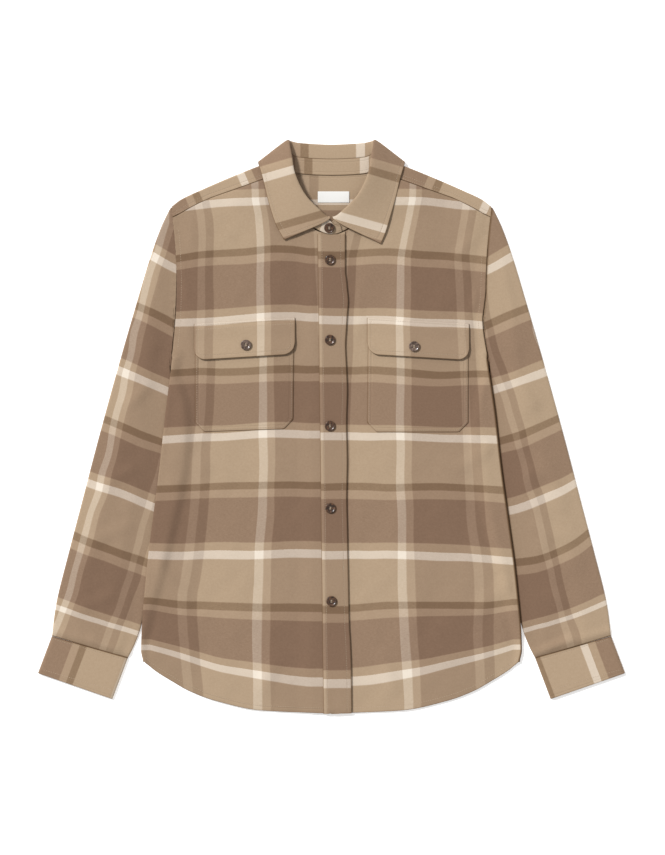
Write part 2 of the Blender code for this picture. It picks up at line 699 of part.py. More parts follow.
def make_collar_button(material):
    """The first button is on the stand's upper end, mostly under the leaf's points."""
    at, share = COLLAR_BUTTON
    here = collar_point(at, share, -1.0)
    along_seam = collar_point(at + 0.1, share, -1.0) - here
    up_stand = collar_point(at, share + 0.1, -1.0) - here
    normal = along_seam.cross(up_stand).normalized()
    normal *= math.copysign(1.0, normal.z)
    make_button("collar_button", material, here + normal * (COLLAR_CLOTH / 2 + PATCH_GAP), normal)


def make_label(material):
    left, right, bottom, top = LABEL

    def place(column, row):
        x = left + (right - left) * column / 4
        y = bottom + (top - bottom) * row / 2
        return Vector((x, y, back_z(x, y) + (CLOTH + LABEL_CLOTH) / 2 + PATCH_GAP))

    return sheet("neck_label", material, 4, 2, place, LABEL_CLOTH)


def make_material(name, colour, roughness):
    material = bpy.data.materials.new(name)
    material.use_nodes = True
    shader = material.node_tree.nodes["Principled BSDF"]
    shader.inputs["Base Color"].default_value = (*colour, 1.0)
    shader.inputs["Roughness"].default_value = roughness
    shader.inputs["Metallic"].default_value = 0.0
    return material


def main():
    for old in list(bpy.data.objects):
        bpy.data.objects.remove(old, do_unlink=True)
    flannel = make_material("flannel", FABRIC, 0.92)
    horn = make_material("horn", HORN, 0.28)
    pearl_horn = make_material("pearl_horn", PEARL_HORN, 0.25)
    paper_white = make_material("label", LABEL_WHITE, 0.7)

    make_back(flannel)
    make_yoke(flannel)
    make_front("front_right", flannel, True)
    make_front("front_left", flannel, False)
    make_band(flannel)
    for name in POCKETS:
        make_pocket(name, flannel)
    for name, pocket in (("flap_right", "pocket_right"), ("flap_left", "pocket_left")):
        make_flap(name, pocket, flannel)
    make_stand(flannel)
    make_leaf(flannel)
    for side_name, sign in (("right", -1.0), ("left", 1.0)):
        make_sleeve("sleeve_" + side_name, flannel, sign)
        make_cuff("cuff_" + side_name, flannel, sign)
    make_label(paper_white)

    make_collar_button(horn)
    for number, (x, y) in enumerate(BAND_BUTTONS, 1):
        band_top = front_z(x, y, True) + CLOTH / 2 + PATCH_GAP + PATCH
        make_button(f"band_button_{number}", horn, Vector((x, y, band_top + PATCH_GAP)))
    for name, (x, y) in FLAP_BUTTONS.items():
        top_y = pocket_frame(name.replace("flap", "pocket"))[0].y
        foot = flap_z(x, y - BUTTON_R, top_y - y + BUTTON_R + 1.0) + PATCH / 2
        make_button(name.replace("flap", "flap_button"), pearl_horn, Vector((x, y, foot + PATCH_GAP)))


main()
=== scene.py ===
# %% [markdown]
# # A checked flannel overshirt, laid flat
#
# The garment lies on its back on a pale table. It is cut from one brushed cotton cloth with a big
# brown, khaki and cream check. Every piece of cloth below is made in the same way: a flat grid
# from a bmesh operator, a function that moves each corner of the grid to its place, and a
# Solidify modifier for the thickness. Each piece also carries a UV map called "cut", which says
# in metres where that point was on the woven cloth, so the check runs over a piece as it would
# on the real one and breaks at the seams.

import math

import bmesh
import bpy
import numpy as np
from mathutils import Matrix, Vector


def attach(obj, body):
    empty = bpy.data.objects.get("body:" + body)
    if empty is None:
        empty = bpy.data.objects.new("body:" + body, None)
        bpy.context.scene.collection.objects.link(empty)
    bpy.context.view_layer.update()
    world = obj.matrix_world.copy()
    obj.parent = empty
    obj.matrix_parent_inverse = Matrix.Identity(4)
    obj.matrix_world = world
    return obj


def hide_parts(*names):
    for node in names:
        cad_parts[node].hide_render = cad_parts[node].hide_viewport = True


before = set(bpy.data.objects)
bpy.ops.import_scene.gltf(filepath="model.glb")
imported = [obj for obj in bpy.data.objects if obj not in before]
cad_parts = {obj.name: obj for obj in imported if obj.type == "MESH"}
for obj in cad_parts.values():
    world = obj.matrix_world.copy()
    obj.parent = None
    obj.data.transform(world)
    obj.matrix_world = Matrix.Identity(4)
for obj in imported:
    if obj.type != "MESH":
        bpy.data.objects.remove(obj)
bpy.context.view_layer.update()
MM = 0.001
PLAN_CENTRE_Y = 0.4
print("nodes in the frame:", len(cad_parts))

# %% [markdown]
# ## Curves from short tables
#
# A pattern maker draws an edge from a few measured points and joins them with a smooth curve.
# `read` does that for an edge that is a function of height or width, and `path` for one that
# turns. They take whole arrays, so one call moves every corner of a grid.

# %% Smooth steps and curves
def smooth(t):
    t = np.clip(t, 0.0, 1.0)
    return t * t * (3.0 - 2.0 * t)


def hermite(p, q, start, end, t):
    return (p * (1 + 2 * t) * (1 - t) ** 2 + start * t * (1 - t) ** 2
            + q * t * t * (3 - 2 * t) - end * t * t * (1 - t))


def read(table, at, key=0, value=1):
    """A smooth curve through a table's rows that never overshoots them."""
    rows = np.array(sorted(table, key=lambda row: row[key]), float)
    xs, ys = rows[:, key], rows[:, value]
    at = np.clip(at, xs[0], xs[-1])
    i = np.clip(np.searchsorted(xs, at, side="right") - 1, 0, len(xs) - 2)
    step = np.diff(xs)
    slope = np.diff(ys) / step
    before, after = slope[:-1], slope[1:]
    turns = before * after <= 0
    middle = np.where(turns, 0.0, 2 * before * after / np.where(turns, 1.0, before + after))
    tangent = np.concatenate((slope[:1], middle, slope[-1:]))
    return hermite(ys[i], ys[i + 1], tangent[i] * step[i], tangent[i + 1] * step[i],
                   (at - xs[i]) / step[i])


def path(points, share):
    """Points at shares of the length of a smooth curve."""
    p = np.array(points, float)
    lengths = np.concatenate(([0.0], np.cumsum(np.linalg.norm(np.diff(p, axis=0), axis=1))))
    at = np.clip(share, 0.0, 1.0) * lengths[-1]
    i = np.clip(np.searchsorted(lengths, at, side="right") - 1, 0, len(p) - 2)
    t = ((at - lengths[i]) / (lengths[i + 1] - lengths[i]))[..., None]
    before, after = p[np.maximum(i - 1, 0)], p[np.minimum(i + 2, len(p) - 1)]
    return hermite(p[i], p[i + 1], (p[i + 1] - before) / 2, (after - p[i]) / 2, t)


def ripple(x, y, seed, length, count=12):
    """Soft uneven waves, about 1 high, from a few sines in fixed random directions."""
    rng = np.random.default_rng(seed)
    total = 0.0
    for _ in range(count):
        angle, phase = rng.uniform(0, math.tau, 2)
        wave = length * rng.uniform(0.7, 1.7)
        total = total + np.sin(math.tau * (x * np.cos(angle) + y * np.sin(angle)) / wave + phase)
    return total / math.sqrt(count / 2)


# %% [markdown]
# ## Sizes
#
# All the sizes are in millimetres. The body narrows to the waist and flares to a curved hem. The
# tables give half widths, because a shirt is cut even on both sides. The wearer's left side lies
# a little further in than the right one, and a table beside the fronts' code says by how much.

# %% Sizes of the cloth and of the body
CLOTH, PATCH, COLLAR_CLOTH, CUFF_CLOTH, LABEL_CLOTH = 1.4, 1.2, 1.5, 2.4, 0.5
SEAM, PATCH_GAP, FOLD_GAP, CUFF_GAP = 0.4, 0.35, 1.0, 1.0
YOKE_SEAM_Y, UNDERARM_Y, ARMHOLE_HOLLOW, FRONT_CORNER_Y = 218.6, 98.2, 5.8, 268.0
BODY_PUFF, SIDE_RAMP, SLEEVE_PUFF = 2.1, 24.0, 2.6
LAP, LAP_RAMP, UNDERLAP_X = 2.0, (-46.0, -22.0), -18.0
BAND_TOP_Y, BACK_HEM_SHORTER = 246.0, 2.5
# height, x of the band's left edge and of its right one
BAND_EDGES = [
    (249.3, -17.9, 17.3), (200.0, -17.3, 17.3), (188.0, -17.1, 18.6), (175.0, -17.0, 19.8),
    (162.0, -16.8, 21.0), (143.0, -16.6, 19.8), (124.0, -16.3, 18.6), (105.0, -16.1, 17.5),
    (79.0, -15.8, 18.6), (47.0, -15.4, 19.8), (8.6, -14.9, 18.8), (-42.6, -14.2, 19.8),
    (-94.0, -13.6, 19.0), (-126.0, -13.2, 19.8), (-190.0, -12.4, 21.1), (-254.0, -11.6, 22.4),
    (-273.0, -11.4, 23.6), (-311.0, -10.9, 25.0), (-366.4, -10.2, 25.6),
]
SLEEVE_LIFT, LIFT_RAMP, LIFT_EARLY, LIFT_START_Y, CORNER_REACH = 4.5, 15.0, 3.0, (108.0, 84.0), 8.0
COLLAR_LIFT, COLLAR_LIFT_Y, COLLAR_LIFT_X = 3.4, (262.0, 306.0), (150.0, 100.0)
UNDERARM_CLOSE, HUG = 2.6, 0.3
PUCKER_HIGH, PUCKER_PITCH, PUCKER_REACH, PUCKER_FOOT_Y = 0.3, 9.5, 15.0, 96.0
POCKET_STIFF_X, POCKET_STIFF_Y, BAND_STIFF = (36.0, 186.0), (-18.0, 152.0), (3.0, 34.0)
# height, seed and length of the small waves in the cloth
BODY_WAVES, SLEEVE_WAVES = ((0.28, 4, 60.0), (0.13, 23, 24.0)), ((0.35, 9, 55.0), (0.14, 31, 24.0))
HEM_FLATTENS, SHOULDER_FLATTENS = 50.0, 45.0
SIDES = (("right", -1.0), ("left", 1.0))

# half width, height up the body
SIDE = [(202.9, 98.2), (207.4, 58.6), (213.1, 12.5), (220.2, -51.5), (227.8, -111.7),
        (235.5, -173.1), (242.6, -255.0), (243.8, -285.8), (241.3, -298.6)]
HEM = [(0.0, -367.0), (90.2, -362.9), (149.1, -350.4), (183.0, -337.6), (205.4, -324.8),
       (225.9, -312.0), (241.9, -298.6), (246.0, -295.0)]
SHOULDER = [(62.1, 345.9), (92.2, 333.8), (105.6, 328.6), (137.0, 315.8), (166.4, 303.0),
            (193.3, 290.2), (204.8, 281.3)]
FRONT_TOP = [(0.0, 246.4), (15.4, 249.3), (33.3, 262.1), (48.6, 283.8), (57.6, 305.6),
             (66.6, 323.5), (89.0, 315.8), (127.4, 302.1), (157.4, 291.5), (176.0, 282.6),
             (199.0, 269.8), (204.0, 267.6)]
ARMHOLE_TOP = (204.8, 278.1)
SLEEVE_OUTER = [(206.2, 280.8), (209.4, 274.0), (219.5, 251.8), (233.0, 213.4), (248.3, 162.2),
                (266.9, 98.2), (284.8, 34.2), (302.1, -29.8), (318.7, -93.8), (335.4, -157.8),
                (351.4, -221.8), (357.8, -267.8)]
SLEEVE_INNER = [(203.8, 97.4), (206.2, 82.9), (207.6, 68.0), (202.0, 49.6), (195.6, 27.8),
                (192.6, 2.2), (193.8, -29.8), (201.0, -81.0), (212.5, -132.2), (225.3, -183.4),
                (235.5, -221.8), (244.2, -257.6), (252.2, -279.4), (260.5, -296.0)]
CUFF_TOP = ((357.8, -267.8), (260.5, -296.0))
CUFF_END = ((375.7, -315.2), (280.3, -348.5))

# both ends of a fold, x0, y0, x1, y1, then its half width and its height
CREASES = [
    (-196.0, 236.0, -184.0, 150.0, 9.0, 1.0), (-188.0, 256.0, -150.0, 200.0, 12.0, 0.9),
    (196.0, 236.0, 182.0, 140.0, 9.0, 1.0), (186.0, 250.0, 140.0, 190.0, 12.0, 0.8),
    (-206.0, -14.0, -150.0, -62.0, 15.0, 1.2), (-216.0, -60.0, -160.0, -130.0, 16.0, 1.3),
    (-236.0, -160.0, -176.0, -236.0, 17.0, 1.6), (212.0, -20.0, 150.0, -60.0, 15.0, 1.1),
    (236.0, -190.0, 170.0, -250.0, 18.0, 1.4), (60.0, -280.0, 84.0, -350.0, 16.0, 1.0),
    (-70.0, -290.0, -92.0, -350.0, 16.0, 1.0),
]
SLEEVE_CREASES = [
    (214.0, 232.0, 240.0, 120.0, 12.0, 1.2), (226.0, 60.0, 268.0, 20.0, 13.0, 1.4),
    (246.0, -50.0, 300.0, -76.0, 13.0, 1.5), (248.0, -120.0, 312.0, -150.0, 14.0, 1.3),
    (270.0, -210.0, 330.0, -236.0, 13.0, 1.2), (258.0, -290.0, 318.0, -266.0, 8.0, 2.6),
]


# %% Edges of the body
def crease_height(table, x, y):
    total = 0.0
    for x0, y0, x1, y1, half, height in table:
        run_x, run_y = x1 - x0, y1 - y0
        length = math.hypot(run_x, run_y)
        share = ((x - x0) * run_x + (y - y0) * run_y) / length ** 2
        across = np.abs((x - x0) * run_y - (y - y0) * run_x) / length
        along = smooth(4 * share) * smooth(4 * (1 - share))
        total = total + height * along * smooth(1 - across / half)
    return total


def armhole(y):
    top, bottom = ARMHOLE_TOP, SIDE[0]
    share = (top[1] - y) / (top[1] - bottom[1])
    return top[0] + (bottom[0] - top[0]) * share - ARMHOLE_HOLLOW * 4 * share * (1 - share)


def side(y):
    by_armhole = armhole(np.clip(y, UNDERARM_Y, ARMHOLE_TOP[1]))
    return np.where(y > UNDERARM_Y, by_armhole, read(SIDE, y, 1, 0))


def sleeve_inner(y):
    return read(SLEEVE_INNER, y, 1, 0)


def hem(x):
    return read(HEM, np.abs(x))


def shoulder(x):
    return read(SHOULDER, np.abs(x))


# %% Layers of the body
def lift(x, y):
    """How far the body is held up, by the sleeves under its sides and the collar under its neck."""
    under = np.minimum(sleeve_inner(y), side(y) + CORNER_REACH)
    ramp = smooth((np.abs(x) - under + LIFT_EARLY + LIFT_RAMP) / LIFT_RAMP)
    start = smooth((LIFT_START_Y[0] - y) / (LIFT_START_Y[0] - LIFT_START_Y[1]))
    up = smooth((y - COLLAR_LIFT_Y[0]) / (COLLAR_LIFT_Y[1] - COLLAR_LIFT_Y[0]))
    across = smooth((COLLAR_LIFT_X[0] - np.abs(x)) / (COLLAR_LIFT_X[0] - COLLAR_LIFT_X[1]))
    return SLEEVE_LIFT * ramp * start + COLLAR_LIFT * up * across


def air(x, y):
    """The space between the back and a front. It closes towards the sides, hem and shoulders."""
    from_side = smooth((side(y) - np.abs(x)) / SIDE_RAMP)
    from_hem = smooth((y - hem(x)) / HEM_FLATTENS)
    from_shoulder = smooth((shoulder(x) - y) / SHOULDER_FLATTENS)
    return FOLD_GAP + BODY_PUFF * from_side * (0.25 + 0.75 * from_hem) * (0.2 + 0.8 * from_shoulder)


def back_z(x, y):
    return lift(x, y) + CLOTH / 2


def stiff_here(x, y):
    """1 where pockets or the band hold the cloth flat."""
    near_x, far_x = POCKET_STIFF_X
    foot_y, top_y = POCKET_STIFF_Y
    pocket = smooth((far_x - np.abs(x)) / 10) * smooth((np.abs(x) - near_x) / 10)
    pocket = pocket * smooth((y - foot_y) / 10) * smooth((top_y - y) / 10)
    band = smooth((BAND_STIFF[1] - np.abs(x - BAND_STIFF[0])) / 8)
    return np.maximum(pocket, band)


def pucker(x, y):
    """The armhole seam's small gathers, on both sides of it."""
    near = smooth(1 - np.abs(np.abs(x) - side(y)) / PUCKER_REACH)
    near = near * smooth((y - PUCKER_FOOT_Y) / 20.0)
    return PUCKER_HIGH * near * np.sin(math.tau * (y + 2.5 * np.sin(y / 11.0)) / PUCKER_PITCH)


def waves(x, y, table):
    return sum(high * ripple(x, y, seed, length) for high, seed, length in table)


def front_z(x, y, upper):
    """Middle of a front's cloth. The wearer's right front rides over the left one's edge."""
    edge = smooth((side(y) - np.abs(x)) / 14.0)
    lap = LAP * smooth((x - LAP_RAMP[0]) / (LAP_RAMP[1] - LAP_RAMP[0])) if upper else 0.0
    loose = edge * (1 - 0.65 * stiff_here(x, y))
    wave = loose * waves(x, y, BODY_WAVES) + pucker(x, y)
    return back_z(x, y) + CLOTH + air(x, y) + lap + edge * crease_height(CREASES, x, y) + wave


# %% [markdown]
# ## The check, as cloth coordinates
#
# Woven cloth has two sets of yarn. The warp runs up the body and gives the upright stripes, and
# the weft runs across it. The functions here answer the cutter's question: which point of the
# woven cloth is at this point of the garment? The fronts spread a little towards the hem, and
# the last stripes sag in the middle.

# %% Where the check falls on the body
WARP_REPEAT, WEFT_REPEAT = 167.7, 148.5
WHITE_WARP, WHITE_WEFT = 5.8, 5.8
SPREAD_AT_ZERO, SPREAD_PER_MM = 0.98, 0.000492
WANDER, WANDER_LENGTH = 0.45, 70.0

# height, x of the white upright stripe on the wearer's right front and on the left one
WHITE_STRIPE = [
    (290.0, -97.6, 103.7), (265.0, -92.6, 99.6), (239.0, -90.8, 93.7), (213.0, -90.8, 89.5),
    (123.0, -90.8, 88.6), (98.0, -86.9, 88.6), (-30.0, -86.9, 88.6), (-94.0, -87.6, 89.5),
    (-145.0, -90.6, 90.3), (-222.0, -93.8, 92.1), (-273.0, -94.5, 94.5), (-350.0, -94.0, 99.9),
]
# height, and how wide a stripe lies beyond the white one, on the right front and on the left
OUTER_SPREAD = [
    (260.0, 0.895, 0.818), (190.0, 0.913, 0.872), (105.0, 0.93, 0.93), (30.0, 0.97, 0.983),
    (-50.0, 1.035, 1.015), (-125.0, 1.065, 1.065), (-196.0, 1.14, 1.138), (-215.0, 1.17, 1.137),
    (-254.0, 1.165, 1.12), (-280.0, 1.14, 1.105), (-337.0, 1.066, 1.089),
]
# half widths, then lines of the weft: its place in repeats, and its height at each half width
WEFT_KNOTS = (30.0, 50.0, 70.0, 115.0, 140.0, 165.0, 190.0, 232.0)
WEFT_LINES = {
    "right": [
        (0.0345, 292.7, 291.4, 290.3, 288.2, 286.2, 283.4, 281.0, 277.0),
        (0.501, 218.6, 221.7, 222.6, 217.9, 216.6, 215.1, 211.3, 205.0),
        (1.0345, 138.9, 140.6, 140.5, 137.6, 135.6, 134.1, 132.9, 130.0),
        (1.501, 68.7, 69.7, 69.0, 65.3, 64.7, 65.4, 63.9, 62.0),
        (2.0345, -10.3, -9.7, -9.6, -11.5, -12.9, -13.6, -15.0, -17.0),
        (2.501, -79.9, -79.3, -79.4, -79.7, -80.5, -82.1, -83.0, -85.0),
        (3.0345, -162.1, -162.2, -162.9, -164.0, -164.0, -164.0, -164.7, -164.6),
        (3.501, -237.4, -237.0, -236.4, -235.8, -235.3, -233.8, -232.7, -227.0),
        (4.0345, -326.4, -324.5, -321.5, -314.0, -309.1, -301.8, -294.5, -282.2),
    ],
    "left": [
        (0.0345, 289.0, 289.2, 289.2, 288.2, 285.5, 283.0, 281.9, 278.0),
        (0.501, 216.7, 217.6, 218.3, 215.4, 214.0, 211.4, 208.8, 203.0),
        (1.0345, 136.3, 136.6, 136.1, 133.7, 132.5, 131.1, 130.0, 127.0),
        (1.501, 66.7, 67.7, 66.3, 62.6, 61.2, 62.0, 62.8, 61.0),
        (2.0345, -12.3, -12.4, -12.0, -14.1, -14.6, -14.5, -15.1, -17.0),
        (2.501, -82.4, -82.5, -83.2, -82.2, -82.0, -83.0, -84.6, -88.0),
        (3.0345, -164.0, -164.7, -164.0, -165.4, -166.6, -166.9, -168.7, -172.4),
        (3.501, -236.7, -235.0, -233.5, -232.3, -232.8, -233.2, -233.3, -228.0),
        (4.0345, -325.6, -323.8, -320.8, -313.4, -307.2, -301.0, -294.5, -281.4),
    ],
    "band": [
        (0.0345, 290.0), (0.501, 214.3), (1.0345, 136.2), (1.501, 66.6), (2.0345, -12.8),
        (2.501, -82.4), (3.0345, -164.0), (3.501, -239.3), (4.0345, -328.5),
    ],
}


def down_cloth(x, y, panel):
    """How far down the woven cloth a point lies, between the lines of a panel's table."""
    lines = [(row[0], row[1] if len(row) == 2 else read(list(zip(WEFT_KNOTS, row[1:])), np.abs(x)))
             for row in WEFT_LINES[panel]]
    index = 0.0
    for k, ((place, top), (next_place, foot)) in enumerate(zip(lines, lines[1:])):
        between = place + (next_place - place) * (top - y) / (top - foot)
        index = np.where(y < top, between, index) if k else between
    return index * WEFT_REPEAT + WANDER * ripple(x, y, 42, WANDER_LENGTH)


def body_cut(x, y, upper, white_x=None):
    """Cloth coordinates of a front: across the cloth, and down it."""
    column = 1 if upper else 2
    if white_x is None:
        white_x = read(WHITE_STRIPE, y, 0, column)
    beyond = np.abs(x) > np.abs(white_x)
    inner_spread = SPREAD_AT_ZERO - SPREAD_PER_MM * y
    spread = np.where(beyond, read(OUTER_SPREAD, y, 0, column), inner_spread)
    across = WHITE_WARP + (x - white_x) / spread + WANDER * ripple(x, y, 41, WANDER_LENGTH)
    return across, down_cloth(x, y, "right" if upper else "left")


# %% [markdown]
# ## One way to make any piece of cloth
#
# `cloth` takes a function that is given the place on a unit grid and returns the point in the
# garment, its place on the woven cloth and its distance from the nearest stitched edge. A tube
# is the same grid with its two long edges merged.

# %% Meshes and objects
def mesh_from(name, bm):
    mesh = bpy.data.meshes.new(name)
    bm.to_mesh(mesh)
    bm.free()
    return mesh


def linked(name, data):
    """A new object in the scene, at the origin."""
    made = bpy.data.objects.new(name, data)
    bpy.context.scene.collection.objects.link(made)
    return made


def print_size(name, grid, lean):
    """A piece's width and length, square to its own lean, and its area."""
    cos, sin = math.cos(math.radians(lean)), math.sin(math.radians(lean))
    row, column = np.diff(grid, axis=1), np.diff(grid, axis=0)
    wide = np.hypot(row[..., 0] * cos + row[..., 1] * sin, row[..., 2]).sum(axis=1).max()
    long = np.hypot(column[..., 1] * cos - column[..., 0] * sin, column[..., 2]).sum(axis=0).max()
    crossed = np.cross(grid[1:, 1:] - grid[:-1, :-1], grid[1:, :-1] - grid[:-1, 1:])
    area = np.linalg.norm(crossed, axis=2).sum() / 200
    print(f"{name}: {wide:.0f} x {long:.0f} mm, {area:.0f} square cm")


# %% The cloth builder
def cloth(name, across, up, place, thickness, tube=False, soft_edge=0.4, lean=0.0):
    bm = bmesh.new()
    bmesh.ops.create_grid(bm, x_segments=across, y_segments=up, size=0.5)
    mesh = mesh_from(name, bm)
    flat = np.empty(len(mesh.vertices) * 3, np.float32)
    mesh.vertices.foreach_get("co", flat)
    s, t = flat[0::3].astype(float) + 0.5, flat[1::3].astype(float) + 0.5
    point, cut, edge = place(s, t)
    point = np.stack([np.broadcast_to(c, s.shape) for c in point], axis=1)
    print_size(name, point.reshape(up + 1, across + 1, 3), lean)
    point = (point - (0.0, PLAN_CENTRE_Y, 0.0)) * MM
    mesh.vertices.foreach_set("co", point.astype(np.float32).ravel())
    corner = np.empty(len(mesh.loops), np.int32)
    mesh.loops.foreach_get("vertex_index", corner)
    cut = np.stack([np.broadcast_to(c, s.shape) for c in cut], axis=1) * MM
    mesh.uv_layers.new(name="cut").data.foreach_set("uv", cut[corner].astype(np.float32).ravel())
    distance = mesh.attributes.new("edge", "FLOAT", "POINT")
    distance.data.foreach_set("value", (np.broadcast_to(edge, s.shape) * MM).astype(np.float32))
    if tube:
        bm = bmesh.new()
        bm.from_mesh(mesh)
        bmesh.ops.remove_doubles(bm, verts=bm.verts, dist=1e-6)
        bm.to_mesh(mesh)
        bm.free()
    mesh.shade_smooth()
    made = linked(name, mesh)
    wall = made.modifiers.new("thickness", "SOLIDIFY")
    wall.thickness = thickness * MM
    wall.offset = 0.0
    wall.use_even_offset = False
    if soft_edge:
        rounded = made.modifiers.new("soft edge", "BEVEL")
        rounded.limit_method = "ANGLE"
        rounded.angle_limit = math.radians(55)
        rounded.width = soft_edge * MM
        rounded.segments = 2
    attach(made, "root")
    return made


pieces = {}


def cloth_for(node, *grid, **options):
    """Makes a piece of cloth that stands for a node of the frame."""
    pieces[node] = cloth(node + "_cloth", *grid, **options)
    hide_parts(node)


# %% [markdown]
# ## The two fronts
#
# Each front is one panel from the shoulder seam and neckline down to the curved hem. The grid's
# columns run from the centre edge to the side, and its rows from the top to the hem.

# %% How the fronts' side edges lie
EDGE_COLUMNS, SIDE_INSET = 5, 1.9
# how high an edge rises, and how far in from it the rise starts
LEFT_RISE, RIGHT_RISE = (1.5, 12.0), (0.8, 4.0)
# heights where the left rise is over, with the stretch that it fades in, and the right one's middle
LEFT_RISE_TOP, LEFT_RISE_FOOT, RIGHT_RISE_AT = (252.0, 40.0), (90.0, 16.0), (166.0, 22.0)
# height, and how far in the wearer's left side lies beside the even shape
TUCK = [(280.0, 0.0), (200.0, 0.6), (175.0, 1.0), (162.0, 2.5), (149.0, 4.6), (136.0, 6.6),
        (124.0, 6.6), (105.0, 5.6), (85.0, 4.6), (66.0, 4.0), (47.0, 3.3), (9.0, 2.8), (-30.0, 2.9),
        (-68.0, 2.7), (-107.0, 2.2), (-145.0, 1.9), (-183.0, 1.3), (-222.0, 1.0), (-260.0, 0.0)]
TUCK_REACH = 26.0
# a seam at an edge gets painted shade over 0.9 mm of "edge": a share below 1 makes the painted shade
# line wider, and the most keeps it out of the stitches' groove
SIDE_SHADE, ARM_SHADE, CUFF_SHADE, SHADE_MOST = 0.6, 0.3, 0.36, 3.0


def tuck_in(x, y):
    """Moves what is near the wearer's left side in, by what the table says."""
    return x - read(TUCK, y) * smooth(1 - np.abs(x - side(y)) / TUCK_REACH)


def side_lift(y, from_edge, upper):
    """The left front's edge stands up over the sleeve, and the right one's a little, at one place."""
    high, reach = RIGHT_RISE if upper else LEFT_RISE
    rise = high * smooth(1 - from_edge / reach)
    if upper:
        return rise * smooth(1 - np.abs(y - RIGHT_RISE_AT[0]) / RIGHT_RISE_AT[1])
    rise = rise * smooth((LEFT_RISE_TOP[0] - y) / LEFT_RISE_TOP[1])
    return rise * smooth((y - LEFT_RISE_FOOT[0]) / LEFT_RISE_FOOT[1])


def below_underarm(y):
    return smooth((UNDERARM_Y - 2 - y) / 12.0)


def panel_side(y):
    """Half width of a body panel's flat part: the side seam's turn takes the rest."""
    return side(y) - SIDE_INSET * below_underarm(y) + 0.18 * (1 - below_underarm(y))


def panel_x(c, y, centre, sign):
    return centre(y) + c * (sign * panel_side(y) - centre(y))


def band_edge(y, column):
    return read(BAND_EDGES, y, 0, column)


# %% Fronts
HEM_GUESS_Y, HEM_ROUNDS = -330.0, 12


def hem_under(s, x_at, shorter=0.0):
    """Where each column meets the hem. A column leans, so a few rounds close in on it."""
    y = np.full_like(s, HEM_GUESS_Y)
    for _ in range(HEM_ROUNDS):
        y = hem(x_at(y)) + shorter
    return y


def front_place(upper):
    sign = -1.0 if upper else 1.0

    def centre(y):
        return band_edge(y, 2) if upper else np.full_like(y, UNDERLAP_X)

    def place(s, t):
        flat_share = 1 - EDGE_COLUMNS / 90
        curl = np.clip((s - flat_share) / (1 - flat_share), 0, 1)
        c = np.minimum(s / flat_share, 1.0)
        top_x = panel_x(s, np.full_like(s, FRONT_CORNER_Y), centre, sign)
        top_y = read(FRONT_TOP, np.abs(top_x)) - 0.1
        hem_y = hem_under(s, lambda y: panel_x(c, y, centre, sign))
        y = top_y + (hem_y - top_y) * t
        turned = below_underarm(y)
        share = s + (c - s) * turned
        x = np.where(y > FRONT_CORNER_Y, top_x, panel_x(share, y, centre, sign))
        z = front_z(x, y, upper)
        z = z + side_lift(y, panel_side(y) - np.abs(x), upper)
        radius = (z - back_z(x, y)) / 2
        angle = curl * math.pi * turned
        x = x + sign * radius * np.sin(angle)
        z = z - radius * (1 - np.cos(angle))
        edge = np.minimum(y - hem_y, 60.0)
        if not upper:
            # painted shade: the left front darkens along its side, where it overhangs the sleeve
            from_side = SIDE_SHADE * (panel_side(y) + 0.6 - np.abs(x))
            edge = np.minimum(edge, np.minimum(from_side, SHADE_MOST))
            x = tuck_in(x, y)
        return (x, y, z), body_cut(x, y, upper), edge

    return place


cloth_for("front_right", 90, 210, front_place(True), CLOTH, soft_edge=0.22)
cloth_for("front_left", 88, 210, front_place(False), CLOTH, soft_edge=0.22)

# %% [markdown]
# ## The back and the yoke
#
# The back lies on the table. The yoke is one piece: it lies under the shoulders, folds over them
# and is sewn to the fronts a little way down. So its grid has a tight half turn at the shoulder.

# %% Back
def back_place(s, t):
    c = 2 * s - 1
    hem_y = hem_under(s, lambda y: c * panel_side(y), BACK_HEM_SHORTER)
    top_y = YOKE_SEAM_Y - SEAM / 2
    y = top_y + (hem_y - top_y) * t
    x = c * panel_side(y)
    z = back_z(x, y)
    x = tuck_in(x, y)
    return (x, y, z), body_cut(x, y, False), np.minimum(y - hem_y, 60.0)


cloth_for("back", 110, 120, back_place, CLOTH)


# %% Yoke
def yoke_fold(x, y):
    radius = (CLOTH + air(x, y)) / 2
    return shoulder(x) - CLOTH / 2, back_z(x, y) + radius, radius, math.pi * radius / 2


def unfolded(x, y):
    fold_y, _, radius, quarter = yoke_fold(x, y)
    return fold_y - radius - y + quarter


def yoke_point(x, from_fold):
    """A point at a distance over the cloth from the shoulder fold: above 0 under, below 0 on top."""
    reach = np.abs(from_fold)
    fold_y, middle, radius, quarter = yoke_fold(x, shoulder(x) - reach)
    angle = np.clip(from_fold / radius, -math.pi / 2, math.pi / 2)
    y = fold_y - radius + radius * np.cos(angle) - np.maximum(reach - quarter, 0.0)
    return x, y, middle - radius * np.sin(angle)


YOKE_FOOT_Y = YOKE_SEAM_Y + SEAM / 2
CORNER_Y = FRONT_CORNER_Y + SEAM
# a quarter of the rows lies within this distance of the shoulder fold
FOLD_ROWS = 4.5
